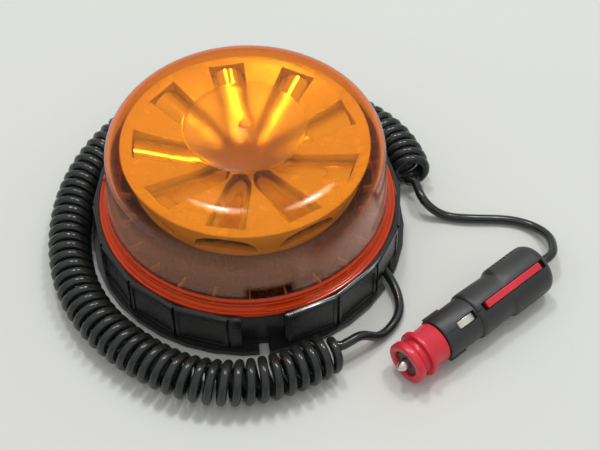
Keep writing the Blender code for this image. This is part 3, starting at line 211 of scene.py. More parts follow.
# Plug: (place along it, half width, half height), and what is cut from it, in millimetres from its front
PLUG_RINGS = (
    (1.2, 5.6, 5.6), (1.5, 5.9, 5.9), (2.0, 6.0, 6.0), (19.1, 6.0, 6.0), (19.1, 9.7, 9.7), (19.4, 10.1, 10.1),
    (19.9, 10.3, 10.3), (38.1, 10.3, 10.3), (38.3, 10.7, 10.7), (38.6, 11.1, 11.1), (39.2, 11.35, 11.35),
    (40.0, 11.4, 11.4), (48.0, 11.25, 11.2), (55.0, 10.95, 10.95), (57.2, 10.9, 10.9), (57.8, 11.2, 10.9),
    (58.4, 11.8, 10.9), (59.4, 12.3, 10.9), (60.6, 12.4, 10.9), (79.0, 12.4, 10.9), (80.5, 12.2, 10.75),
    (82.0, 11.5, 10.2), (83.2, 10.5, 9.2), (83.9, 9.6, 8.3), (84.2, 8.8, 7.4),
)
FAR = 30
WING_SPAN, WING_DEPTH, WING_HALF = (19.8, 27.8), (9.1, 11.0), 1.6
SLOT_HALF = 2.0
CONTACT_SLOT = (26.7, 37.3)
BAR_SLOT, BAR_SLOT_FLOOR = (41.6, 81.0), 8.25
SEAM, SEAM_HALF, SEAM_FLOOR = (15.0, 42.0), 0.15, 9.9
TIP_HOLE, TIP_HOLE_RADIUS = (-3, 14), 2.7
CORD_HOLE, CORD_HOLE_RADIUS = (80.2, 90), 2.45
HOLE_SIDES = 24
RIBS = 6
RIB_START, RIB_PITCH, RIB_WIDTH, RIB_DEPTH, RIB_HALF = 63.0, 2.3, 0.9, (11.7, 14.0), 9.0
SLEEVE_STEPS = 72
SLEEVE_SECTION = (
    (6.3, 18.8), (6.3, 0.7), (6.6, 0.2), (7.0, 0), (9.0, 0), (9.6, 0.2), (9.9, 0.7), (9.9, 3.2), (9.7, 3.7),
    (9.1, 4.1), (8.5, 4.5), (8.3, 5.0), (8.3, 7.0), (8.5, 7.3), (9.9, 7.4), (10.5, 7.6), (10.7, 8.0),
    (10.7, 9.6), (10.5, 10.0), (10.0, 10.2), (9.4, 10.4), (9.2, 10.8), (9.4, 18.3), (9.2, 18.7), (8.9, 18.8),
    (6.3, 18.8),
)
TIP_STEPS = 40
TIP_SECTION = (
    (0, -4.1), (0.5, -4.05), (0.9, -3.85), (2.2, -2.0), (2.4, -1.5), (2.4, 3.1), (3.1, 3.1), (3.1, 6.7),
    (2.4, 6.7), (2.4, 8.9), (0, 8.9),
)
BLADE_START, BLADE_LENGTH, BLADE_STEPS = 27, 10, 16
BLADE_SHOULDER, BLADE_RISE, BLADE_ROUND = 9.35, 2.15, 0.8
BLADE_FOOT, BLADE_HALF = 8.4, 1.7
BAR_CORNERS = ((44.1, -1.7, 8.55), (78.4, 1.7, 11.25))

# Finishes, in metres: where each look starts and ends
STUDS = 68.0
STUD_EDGE = 0.2
STUD_SIDE = 0.039
GASKET_RIM = 0.0686
WEAVE_RADIUS = 0.072
WEAVE_PITCH = 0.0021
WEAVE_DEPTH = 0.00004
WEAVE_INSIDE = 0.0712
WEAVE_FOOT = 0.0035
BASE_GRAIN = 0.000012
RIM_GLOSS = (0.0222, 0.0228)
DISC_EDGE = (0.0268, 0.0272)
DISC_LEVEL = 0.0675
DISC_ROUGHNESS = 0.2
WALL_FOOT = (0.030, 0.032)
WALL_HEAD = (0.046, 0.060)
RED_FOOT_TOP = (0.0294, 0.0299)
RED_FOOT_RADIUS = 0.0643
RED_FOOT_SHARE = 0.55
WINDOW_PLACE = 0.012
WINDOW_EDGE = (0.009, 0.012)
WINDOW_HEAD = (0.035, 0.038)
# Painted reflection on the dome's wall: its strength at the front and at the sides, and where the sides begin
REFLECTION_STRENGTH = (0.19, 0.28)
REFLECTION_SIDES = (0.03, 0.058)
AMBER = (1.0, 0.745, 0.0)
AMBER_DENSITY = 850.0
AMBER_IOR = 1.33
# Painted shade towards the reflector's hub
HUB_SHADE_EDGE = (0.01, 0.027)
# Painted shade high in the reflector's arched openings
ARCH_SHADE = (0.047, 0.052)

# Floor and light, in metres
FLOOR_SIZE = 3.0
FLOOR_DARK = (0.598, 0.610, 0.580)
FLOOR_LIGHT = (0.620, 0.630, 0.600)
FLOOR_ROUGHNESS = 0.6
TENT_FADE = (0.1, 0.9, 0.48, 0.81)
LAMPS = {"left lamp": (-0.155, 0.4, 1.16), "right lamp": (0.345, 0.33, 1.16)}
LAMP_AIM = (0, 0, 0.03)
LAMP_HALO = 2.2
LAMP_HALO_SIZE = (0.235, 0.36)
LAMP_CORE = 1.5
LAMP_CORE_SIZE = (0.075, 0.12)
LAMP_CORE_REACH = 0.98


class Value:
    """A socket of a material, with sums written as Python."""

    def __init__(self, paint, socket):
        self.paint = paint
        self.socket = socket

    def maths(self, operation, *others):
        return self.paint.node("ShaderNodeMath", {"operation": operation}, [self, *others])

    def __add__(self, other):
        return self.maths("ADD", other)

    def __sub__(self, other):
        return self.maths("SUBTRACT", other)

    def __mul__(self, other):
        return self.maths("MULTIPLY", other)

    def __rsub__(self, other):
        return self.paint.node("ShaderNodeMath", {"operation": "SUBTRACT"}, [other, self])


class Paint:
    """A material while it is written."""

    def __init__(self, name):
        self.material = bpy.data.materials.new(name)
        self.material.use_nodes = True
        self.tree = self.material.node_tree
        self.tree.nodes.clear()
        self.end = self.tree.nodes.new("ShaderNodeOutputMaterial")
        self.place = self.node("ShaderNodeTexCoord", output="Object")

    def node(self, kind, settings=None, inputs=None, output=0):
        """Any node: its settings first, then the values or links of its sockets."""
        made = self.tree.nodes.new(kind)
        for key, value in (settings or {}).items():
            setattr(made, key, value)
        pairs = inputs.items() if isinstance(inputs, dict) else enumerate(inputs or [])
        for key, value in pairs:
            if isinstance(value, Value):
                self.tree.links.new(value.socket, made.inputs[key])
            else:
                made.inputs[key].default_value = value
        return Value(self, made.outputs[output])

    def axis(self, letter):
        return self.node("ShaderNodeSeparateXYZ", None, [self.place], letter)

    def noise(self, scale, detail=3.0):
        inputs = {"Vector": self.place, "Scale": scale, "Detail": detail, "Roughness": 0.5}
        return self.node("ShaderNodeTexNoise", None, inputs)

    def spread(self, value, low, high, start=0.3, end=0.7):
        return self.node("ShaderNodeMapRange", None, [value, start, end, low, high])

    def blend(self, share, first, second):
        inputs = {0: share, 6: (*first, 1.0), 7: (*second, 1.0)}
        return self.node("ShaderNodeMix", {"data_type": "RGBA"}, inputs, 2)

    def bump(self, height, distance):
        inputs = {"Height": height, "Distance": distance, "Strength": 1.0}
        return self.node("ShaderNodeBump", None, inputs)

    def shader(self, **inputs):
        """A surface with its sockets by name."""
        named = {key.replace("_", " "): value for key, value in inputs.items()}
        return self.node("ShaderNodeBsdfPrincipled", None, named)

    def mixed(self, share, first, second):
        return self.node("ShaderNodeMixShader", None, [share, first, second])

    def finish(self, shader):
        self.tree.links.new(shader.socket, self.end.inputs["Surface"])
        return self.material

    def surface(self, **inputs):
        return self.finish(self.shader(**inputs))

    def volume(self, colour, density):
        inputs = {"Color": (*colour, 1.0), "Density": density}
        made = self.node("ShaderNodeVolumeAbsorption", None, inputs)
        self.tree.links.new(made.socket, self.end.inputs["Volume"])


def moulded(name, dark, light, rough, grain=0.00003, metallic=0.0):
    """Plastic, rubber or metal with a soft mottle, uneven gloss and a fine grain."""
    paint = Paint(name)
    cloud = paint.noise(70.0)
    fine = paint.noise(2200.0, 2.0)
    return paint.surface(
        Base_Color=paint.blend(paint.spread(cloud, 0.0, 1.0), dark, light),
        Roughness=paint.spread(paint.noise(240.0), *rough),
        Metallic=metallic,
        Normal=paint.bump(fine, grain),
    )


def gasket_finish():
    """Seat of the dome: painted pale as light seen through the flange, with dark studs at two sides and a
    dark rim.
    """
    paint = Paint("gasket")
    x, y = paint.axis("X"), paint.axis("Y")
    turn = paint.node("ShaderNodeMath", {"operation": "ARCTAN2"}, [y, x])
    radius = (x * x + y * y).maths("SQRT")
    at_sides = x.maths("ABSOLUTE").maths("GREATER_THAN", STUD_SIDE)
    studs = (turn * STUDS).maths("SINE").maths("GREATER_THAN", STUD_EDGE) * at_sides
    dark = studs.maths("MAXIMUM", radius.maths("GREATER_THAN", GASKET_RIM))
    return paint.surface(
        # The pale colour is painted light that shows through the flange
        Base_Color=paint.blend(dark, (0.62, 0.5, 0.42), (0.014, 0.014, 0.014)),
        Roughness=paint.spread(paint.noise(240.0), 0.5, 0.65),
    )


def base_finish():
    """Black moulding with a fine diamond weave on the side panels and a glossier rim."""
    paint = Paint("base black")
    x, y, z = (paint.axis(letter) for letter in "XYZ")
    turn = paint.node("ShaderNodeMath", {"operation": "ARCTAN2"}, [y, x])
    radius = (x * x + y * y).maths("SQRT")
    along = turn * WEAVE_RADIUS
    pitch = FULL_TURN / WEAVE_PITCH
    weave = ((along + z) * pitch).maths("SINE") * ((along - z) * pitch).maths("SINE")
    outside = radius.maths("GREATER_THAN", WEAVE_INSIDE) * z.maths("GREATER_THAN", WEAVE_FOOT)
    fine = paint.noise(1900.0, 2.0)
    cloud = paint.spread(paint.noise(60.0), 0.0, 1.0)
    height = weave * outside * WEAVE_DEPTH + fine * BASE_GRAIN
    return paint.surface(
        Base_Color=paint.blend(cloud, (0.007, 0.0075, 0.0075), (0.012, 0.0125, 0.0125)),
        Roughness=paint.spread(paint.noise(200.0), 0.22, 0.3) - paint.spread(z, 0.0, 0.12, *RIM_GLOSS),
        Normal=paint.bump(height, 1.0),
    )


def lens_finish():
    """Clear amber, deeper the longer the way through it: satin disc, painted reflection on the wall,
    red-orange foot.
    """
    paint = Paint("lens amber")
    x, y, z = (paint.axis(letter) for letter in "XYZ")
    radius = (x * x + y * y).maths("SQRT")
    disc = paint.spread(radius, 1.0, 0.0, *DISC_EDGE) * z.maths("GREATER_THAN", DISC_LEVEL)
    gloss = paint.spread(paint.noise(45.0, 4.0), 0.07, 0.1)
    wall = paint.spread(z, 0.0, 1.0, *WALL_FOOT) * paint.spread(z, 1.0, 0.0, *WALL_HEAD)
    foot = paint.spread(z, 1.0, 0.0, *RED_FOOT_TOP) * radius.maths("GREATER_THAN", RED_FOOT_RADIUS)
    aside = (x - WINDOW_PLACE).maths("ABSOLUTE")
    window = paint.spread(aside, 1.0, 0.0, *WINDOW_EDGE) * y.maths("LESS_THAN", 0.0)
    clearing = 1.0 - window * paint.spread(z, 1.0, 0.0, *WINDOW_HEAD)
    paint.volume(AMBER, AMBER_DENSITY)
    clear = paint.shader(
        Base_Color=(1.0, 1.0, 1.0, 1.0), Transmission_Weight=1.0, IOR=AMBER_IOR,
        Specular_Tint=(0.9, 0.9, 0.9, 1.0), Roughness=gloss + disc * DISC_ROUGHNESS,
        Normal=paint.bump(paint.noise(30.0, 1.0), 0.00001),
    )
    # Painted reflection: a pale warm surface mixed into the wall, stronger towards the sides, left out at a
    # window low on the front
    painted_reflection = paint.shader(Base_Color=(0.95, 0.62, 0.44, 1.0), Roughness=0.3)
    deep = paint.shader(Base_Color=(0.88, 0.075, 0.004, 1.0), Roughness=0.12)
    reflection_share = wall * clearing * paint.spread(x.maths("ABSOLUTE"), *REFLECTION_STRENGTH, *REFLECTION_SIDES)
    with_reflection = paint.mixed(reflection_share, clear, painted_reflection)
    return paint.finish(paint.mixed(foot * RED_FOOT_SHARE, with_reflection, deep))


def reflector_finish(name, rough, metallic):
    """Silvered plastic with painted shade that darkens it towards the hub."""
    paint = Paint(name)
    x, y = paint.axis("X"), paint.axis("Y")
    radius = (x * x + y * y).maths("SQRT")
    # Painted shade: the colour falls to a dull brown towards the hub, with a faint random mottle
    bright = paint.spread(radius, 0.0, 1.0, *HUB_SHADE_EDGE) - paint.spread(paint.noise(50.0), 0.0, 0.06)
    return paint.surface(
        Base_Color=paint.blend(bright, (0.36, 0.25, 0.17), (0.99, 0.99, 0.98)),
        Roughness=paint.spread(paint.noise(90.0), *rough), Metallic=metallic,
        Normal=paint.bump(paint.noise(160.0, 2.0), 0.00002),
    )


def arch_finish():
    """The openings of the skirt, with painted shade: dark under the rim, paler towards the board."""
    paint = Paint("reflector openings painted shade")
    # Painted shade, darkest high under the rim, broken up by a little noise
    fade = paint.spread(paint.axis("Z"), 0.0, 1.0, *ARCH_SHADE)
    drop = fade + paint.spread(paint.noise(260.0), -0.2, 0.2)
    return paint.surface(
        Base_Color=paint.blend(drop, (0.55, 0.5, 0.46), (0.03, 0.022, 0.018)),
        Roughness=paint.spread(paint.noise(90.0), 0.2, 0.3),
    )


def solid(name, bm):
    """An object from a mesh in the making."""
    bmesh.ops.remove_doubles(bm, verts=bm.verts, dist=0.001 * MM)
    bmesh.ops.recalc_face_normals(bm, faces=bm.faces)
    mesh = bpy.data.meshes.new(name)
    bm.to_mesh(mesh)
    bm.free()
    made = bpy.data.objects.new(name, mesh)
    scene.collection.objects.link(made)
    return made


def turned(name, profile, steps, place=None):
    """A profile of (radius, height) in millimetres, turned about Z."""
    bm = bmesh.new()
    verts = [bm.verts.new((radius * MM, 0, height * MM)) for radius, height in profile]
    edges = [bm.edges.new(pair) for pair in zip(verts, verts[1:])]
    bmesh.ops.spin(
        bm, geom=[*verts, *edges], cent=(0, 0, 0), axis=(0, 0, 1), steps=steps, angle=FULL_TURN,
        use_merge=True, use_duplicate=False,
    )
    if place:
        bm.transform(place)
    return solid(name, bm)


def loft(name, rings, place=None):
    """A skin over rings of points in millimetres, with flat ends."""
    bm = bmesh.new()
    loops = [[bm.verts.new(Vector(point) * MM) for point in ring] for ring in rings]
    count = len(loops[0])
    for first, second in zip(loops, loops[1:]):
        for k in range(count):
            bm.faces.new((first[k], first[(k + 1) % count], second[(k + 1) % count], second[k]))
    bm.faces.new(loops[0][::-1])
    bm.faces.new(loops[-1])
    if place:
        bm.transform(place)
    return solid(name, bm)


def box(name, low, high, place=None):
    """A block between two corners in millimetres."""
    (x0, y0, z0), (x1, y1, z1) = low, high
    rings = [[(x0, y0, z), (x1, y0, z), (x1, y1, z), (x0, y1, z)] for z in (z0, z1)]
    return loft(name, rings, place)


def arc_bar(name, section, start, span, steps):
    """A bar of (radius, height) section that runs round Z from one angle on, in degrees."""
    rings = []
    for k in range(steps + 1):
        turn = math.radians(start + span * k / steps)
        rings.append([(r * math.cos(turn), r * math.sin(turn), z) for r, z in section])
    return loft(name, rings)


def around(make, count):
    """Copies of a piece, turned evenly about Z."""
    pieces = []
    for k in range(count):
        made = make(k)
        made.data.transform(Matrix.Rotation(FULL_TURN * k / count, 4, "Z"))
        pieces.append(made)
    return pieces


def shaped(made, tools, operation="DIFFERENCE"):
    """Cuts the tools from a piece, or joins them to it."""
    for tool in tools:
        step = made.modifiers.new(tool.name, "BOOLEAN")
        step.object = tool
        step.operation = operation
        step.solver = "EXACT"
    graph = bpy.context.evaluated_depsgraph_get()
    mesh = bpy.data.meshes.new_from_object(made.evaluated_get(graph))
    mesh.name = made.name
    made.modifiers.clear()
    made.data = mesh
    for tool in tools:
        bpy.data.objects.remove(tool)
    return made


def finished(made, finish, body, replaces=(), angle=35.0, bevel=0.0, limit=30.0, segments=2):
    """A piece with its finish, smooth faces and softened edges, riding on a body."""
    mesh = made.data
    mesh.shade_smooth()
    mesh.set_sharp_from_angle(angle=math.radians(angle))
    mesh.materials.clear()
    mesh.materials.append(finish)
    if bevel:
        edge = made.modifiers.new("soft edges", "BEVEL")
        edge.width = bevel * MM
        edge.segments = segments
        edge.limit_method = "ANGLE"
        edge.angle_limit = math.radians(limit)
        edge.harden_normals = True
    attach(made, body)
    if replaces:
        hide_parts(*replaces)


def skin_of(node, name):
    """A clean copy of a CAD solid, to be dressed in its place."""
    source = frame["nodes"][node]
    bm = bmesh.new()
    bm.from_mesh(source.data)
    bm.transform(source.matrix_world)
    bmesh.ops.remove_doubles(bm, verts=bm.verts, dist=0.002 * MM)
    bmesh.ops.dissolve_limit(bm, angle_limit=math.radians(0.5), verts=bm.verts, edges=bm.edges)
    return solid(name, bm)


def arc(centre, radius, start, end, steps):
    turns = np.radians(np.linspace(start, end, steps + 1))
    return [(centre[0] + radius * math.cos(t), centre[1] + radius * math.sin(t)) for t in turns]


def polar(radius, turn):
    return radius * math.cos(math.radians(turn)), radius * math.sin(math.radians(turn))


def spun(degrees):
    return Matrix.Rotation(math.radians(degrees), 4, "Z")


def facing(place, aim):
    """Where a camera or lamp stands, looking at its aim."""
    turn = (aim - place).to_track_quat("-Z", "Y").to_matrix().to_4x4()
    return Matrix.Translation(place) @ turn


def set_camera():
    """The photograph's view."""
    data = bpy.data.cameras.new("camera")
    data.lens = CAMERA_LENS
    data.sensor_width = CAMERA_SENSOR
    data.sensor_fit = "HORIZONTAL"
    data.clip_start = CAMERA_NEAR * MM
    camera = bpy.data.objects.new("camera", data)
    scene.collection.objects.link(camera)
    camera.matrix_world = facing(Vector(CAMERA_PLACE) * MM, Vector(CAMERA_AIM) * MM) @ spun(CAMERA_ROLL)
    scene.camera = camera


def smooth_route(points, step):
    """Evenly spaced points on a natural cubic through the given ones."""
    points = np.array(points, float)
    knots = np.concatenate([[0], np.cumsum(np.linalg.norm(np.diff(points, axis=0), axis=1))])
    gaps = np.diff(knots)
    system = np.eye(len(points))
    right = np.zeros_like(points)
    for i in range(1, len(points) - 1):
        system[i, i - 1:i + 2] = gaps[i - 1], 2 * (gaps[i - 1] + gaps[i]), gaps[i]
        slopes = np.diff(points[i - 1:i + 2], axis=0) / gaps[i - 1:i + 1, None]
        right[i] = 6 * (slopes[1] - slopes[0])
    bends = np.linalg.solve(system, right)
    fine = []
    for i, gap in enumerate(gaps):
        for share in np.linspace(0, 1, ROUTE_FINE, endpoint=False):
            rest = 1 - share
            bend = (rest ** 3 - rest) * bends[i] + (share ** 3 - share) * bends[i + 1]
            fine.append(rest * points[i] + share * points[i + 1] + bend * gap ** 2 / 6)
    fine = np.array([*fine, points[-1]])
    along = np.concatenate([[0], np.cumsum(np.linalg.norm(np.diff(fine, axis=0), axis=1))])
    places = np.linspace(0, along[-1], max(2, round(along[-1] / step) + 1))
    return np.stack([np.interp(places, along, fine[:, k]) for k in range(3)], axis=1)


def coil_points():
    """The curly stretch, and the headings at its two ends."""
    level = CURL_DIAMETER / 2 + GAP / 3
    axis = smooth_route([(x, y, level) for x, y in COIL_ROUTE], CURL_PITCH / CURL_POINTS)
    step = np.linalg.norm(axis[1] - axis[0])
    heading = np.gradient(axis, axis=0)
    heading /= np.linalg.norm(heading, axis=1)[:, None]
    up = (0, 0, 1)
    side = np.cross(heading, up)
    order = np.arange(len(axis))
    share = np.clip(np.minimum(order, order[::-1]) * step / CURL_RAMP, 0, 1)
    ease = share * share * (3 - 2 * share)
    turn = math.radians(CURL_START_TURN) + np.cumsum(ease) * FULL_TURN / CURL_POINTS
    radius = (CURL_DIAMETER - CORD_DIAMETER) / 2 * ease
    points = axis + radius[:, None] * (np.cos(turn)[:, None] * side + np.sin(turn)[:, None] * up)
    return points, heading[0], heading[-1]


def plug_place():
    return (
        Matrix.Translation(Vector(PLUG_FRONT) * MM)
        @ spun(PLUG_HEADING)
        @ Matrix.Rotation(math.radians(-PLUG_PITCH), 4, "Y")
        @ Matrix.Rotation(math.radians(PLUG_ROLL), 4, "X")
    )


def make_cord(finish):
    """One cord from the gland through its curls to the plug."""
    points, first, last = coil_points()
    out = np.array([*polar(1.0, GLAND_HEADING), 0])
    mouth = np.array(GLAND_MOUTH)
    reach = CORD_DIAMETER
    lead = [
        mouth - out * (CORD_SOCKET - GAP), mouth, *LEAD_ROUTE,
        points[0] - first * 2 * reach, points[0] - first * reach,
    ]
    place = plug_place()
    rear = [
        np.array(place @ Vector((x * MM, 0, 0))) / MM
        for x in (PLUG_LENGTH + 2 * reach, PLUG_LENGTH + reach, PLUG_LENGTH - CORD_SOCKET + GAP)
    ]
    tail = [points[-1] + last * reach, points[-1] + last * 2 * reach, *TAIL_ROUTE, *rear]
    route = np.concatenate([smooth_route(lead, ROUTE_STEP), points, smooth_route(tail, ROUTE_STEP)]) * MM
    curve = bpy.data.curves.new("cord", "CURVE")
    curve.dimensions = "3D"
    curve.bevel_depth = CORD_DIAMETER / 2 * MM
    curve.bevel_resolution = 4
    curve.use_fill_caps = True
    spline = curve.splines.new("POLY")
    spline.points.add(len(route) - 1)
    spline.points.foreach_set("co", np.column_stack([route, np.ones(len(route))]).ravel())
    spline.use_smooth = True
    curve.materials.append(finish)
    cord = bpy.data.objects.new("cord", curve)
    scene.collection.objects.link(cord)
    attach(cord, "beacon")
    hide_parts("cord_lead", "cord_coil", "cord_tail")
    return cord


def dished(radii, start, top, drop, reach):
    """Points of a shallow round top that falls from its start outwards."""
    return [(q, top - drop * ((q - start) / reach) ** 2) for q in radii]


def lens_profile():
    """From the top over the outside, round the flange and up the inside."""
    crown = dished(np.linspace(CROWN_START, CROWN_END, 9), CROWN_START, CROWN_TOP, CROWN_DROP, CROWN_REACH)
    under = dished(np.linspace(UNDER_END, UNDER_START, 8), UNDER_START, UNDER_TOP, UNDER_DROP, UNDER_REACH)
    wide, tight = SHOULDER_ROUNDS
    outer = [*arc(*wide, *WIDE_TURNS, 10), *arc(*tight, *TIGHT_TURNS, 18)]
    inner = [
        *arc(tight[0], tight[1] - LENS_WALL, *TIGHT_TURNS[::-1], 16),
        *arc(wide[0], wide[1] - LENS_WALL, *WIDE_TURNS[::-1], 8),
    ]
    return [*LENS_DISC, *crown, *outer, *LENS_FOOT, *inner, *under, *LENS_UNDERSIDE]


def lug_bars(name, section, start, span, steps):
    """The same bar at each lug."""
    return around(lambda k: arc_bar(f"{name} {k}", section, start, span, steps), LUGS)


def make_lens(finish):
    """The amber dome with its flange, raised lugs and bayonet legs."""
    lens = turned("lens_cover", lens_profile(), LENS_STEPS)
    leg_start = LUG_TURN - LEG_SPAN / 2
    tools = [
        *lug_bars("lug", LUG_SECTION, LUG_TURN - LUG_SPAN / 2, LUG_SPAN, 12),
        *lug_bars("leg", LEG_SECTION, leg_start, LEG_SPAN, 8),
        *lug_bars("hook", HOOK_SECTION, leg_start + HOOK_LAG, HOOK_SPAN, 8),
    ]
    shaped(lens, tools, "UNION")
    finished(lens, finish, "lens", ["lens_dome"], angle=40)


def funnel(radius):
    """Height of the reflector's dished top."""
    return FUNNEL_FLOOR + FUNNEL_RISE * max((radius - FUNNEL_START) / FUNNEL_REACH, 0.0) ** FUNNEL_BEND


def cell_width(radius):
    """Half the width of a cell: round at its inner end, then slowly wider."""
    reach = radius - CELL_VERTEX
    return (CELL_HALF_WIDTH + CELL_FLARE * reach) * math.sqrt(1 - math.exp(-reach / CELL_ROUND))


def cell_floor(radius):
    return CELL_FLOOR + CELL_RISE * (radius - CELL_VERTEX)


def at_cell(made):
    made.data.transform(spun(LED_TURN))
    return made


def cell_cutter(k):
    """A cell's hollow, a little narrower and shorter at its floor."""
    rings = []
    levels = (
        (None, CELL_END - CELL_END_DRAFT, CELL_DRAFT), (OPTIC_TOP, CELL_END, 0.0),
        (OPTIC_TOP + CELL_CLEAR, CELL_END, 0.0),
    )
    for height, end, draft in levels:
        radii = [CELL_VERTEX + (end - CELL_VERTEX) * s * s for s in np.linspace(0, 1, CELL_POINTS)]
        near = []
        for q in radii:
            near.append((q, cell_width(q) - draft * (q > CELL_VERTEX), height or cell_floor(q)))
        rings.append([(q, -side, z) for q, side, z in near[::-1]] + near[1:])
    return at_cell(loft(f"cell {k}", rings))


def arch_cutter(k):
    """An arched opening in the skirt."""
    outline = []
    for t in np.linspace(0, math.pi, ARCH_POINTS):
        outline.append((ARCH_WIDTH * math.cos(t), ARCH_FOOT + ARCH_HEIGHT * math.sin(t) ** ARCH_SQUARE))
    inner = [(ARCH_BACK + ARCH_LEAN * (z - ARCH_FOOT), y, z) for y, z in outline]
    return at_cell(loft(f"arch {k}", [inner, [(ARCH_FRONT, y, z) for y, z in outline]]))


def make_optic(satin, bright, shade):
    """The silvered reflector: a dished top with a ridged cell over each LED, and an arched skirt."""
    top = [(q, funnel(q)) for q in np.linspace(OPTIC_RIM - OPTIC_LAND, FUNNEL_START, 9)]
    optic = turned("optic_lens", [*OPTIC_SECTION, *top, (0, FUNNEL_FLOOR)], OPTIC_STEPS)
    shaped(optic, around(cell_cutter, LEDS))
    shaped(optic, around(arch_cutter, LEDS))
    finished(optic, satin, "beacon", ["optic"], angle=30, bevel=0.15, limit=40)
    # Faces inside the arched openings take the painted-shade finish
    optic.data.materials.append(shade)
    for face in optic.data.polygons:
        radius = math.hypot(*face.center[:2]) / MM
        height = face.center.z / MM
        outside = SHADE_OUTSIDE + SHADE_LEAN * (height - OPTIC_BOTTOM)
        if SHADE_INSIDE < radius < outside and height < SHADE_TOP:
            face.material_index = 1

    rings = []
    for share in np.linspace(RIDGE_FIRST_SHARE, 1, RIDGE_RINGS):
        radius = CELL_VERTEX + RIDGE_START + (CELL_END - RIDGE_END_GAP - CELL_VERTEX) * share * share
        width = RIDGE_WIDTH_SHARE * cell_width(radius)
        foot = cell_floor(radius) - RIDGE_SINK
        rise = funnel(radius) - RIDGE_DROP - foot
        turns = np.linspace(0, math.pi, RIDGE_POINTS)
        rings.append([(radius, width * math.cos(t), foot + rise * math.sin(t)) for t in turns])
    ridges = around(lambda k: at_cell(loft(f"cell_lens_{k + 1}", rings)), LEDS)
    for ridge in ridges:
        finished(ridge, bright, "beacon", angle=50)


def make_inside(tower_finish, board_finish, seal_finish, web_finish):
    """The plinth, LED board, webs, catches and gasket that show through the dome."""
    tower = turned("plinth", PLINTH_SECTION, INSIDE_STEPS)
    finished(tower, tower_finish, "beacon", ["tower"], angle=30)
    board = turned("board", BOARD_SECTION, INSIDE_STEPS)
    finished(board, board_finish, "beacon", ["led_board"], angle=30)
    webs = [box(f"web {k}", *WEB_CORNERS, spun(WEB_TURN + 360 / WEBS * k)) for k in range(WEBS)]
    first = shaped(webs[0], webs[1:], "UNION")
    first.name = "webs"
    finished(first, web_finish, "beacon")
    for k in range(LUGS):
        made = arc_bar(f"catch_{k + 1}", CATCH_SECTION, CATCH_TURN + 360 / LUGS * k, CATCH_SPAN, 6)
        finished(made, tower_finish, "beacon", angle=30, bevel=0.4)
    seal = turned("gasket", SEAL_SECTION, INSIDE_STEPS)
    finished(seal, seal_finish, "beacon", ["lens_seal"], angle=30)


def panel_ring(flat, height):
    """Corners of the base's outline, which is flat-sided."""
    corner = flat / math.cos(math.pi / PANELS)
    return [(*polar(corner, PANEL_TURN + 360 / PANELS * k), height) for k in range(PANELS)]


def make_base(finish):
    """The black base: the solid's shape with a sloped rim, framed panels and softened edges."""
    base = skin_of("base_housing", "base_shell")
    envelope = loft("envelope", [panel_ring(flat, height) for flat, height in ENVELOPE])
    shaped(base, [envelope], "INTERSECT")
    frames = []
    third = 360 / LUGS
    for k in range(PANELS):
        turn = PANEL_TURN + 360 / PANELS * (k + 0.5)
        if abs((turn - RECESS_TURN + third / 2) % third - third / 2) < RECESS_HALF_SPAN:
            continue
        rings = []
        for height, back in FRAME_BACKS:
            inside = FLAT_RADIUS + back
            outside = inside + FRAME_DEPTH
            half = FRAME_HALF_WIDTH
            corners = ((inside, -half), (outside, -half), (outside, half), (inside, half))
            rings.append([(x, y, height) for x, y in corners])
        frames.append(loft(f"frame {k}", rings, spun(turn)))
    shaped(base, frames)
    finished(base, finish, "beacon", ["base_housing"], angle=30, bevel=0.2, limit=25)


def oval(x, width, height, sides=72):
    turns = np.linspace(0, FULL_TURN, sides, endpoint=False)
    return [(x, width * math.cos(t), height * math.sin(t)) for t in turns]


def hole(name, span, radius):
    """A round hole along the plug."""
    return loft(name, [oval(x, radius, radius, HOLE_SIDES) for x in span])


def side_block(name, side, span, depth, half):
    """A block on one side of the plug: its stretch along, its depths and half its height."""
    low, high = sorted(side * value for value in depth)
    return box(name, (span[0], low, -half), (span[1], high, half))


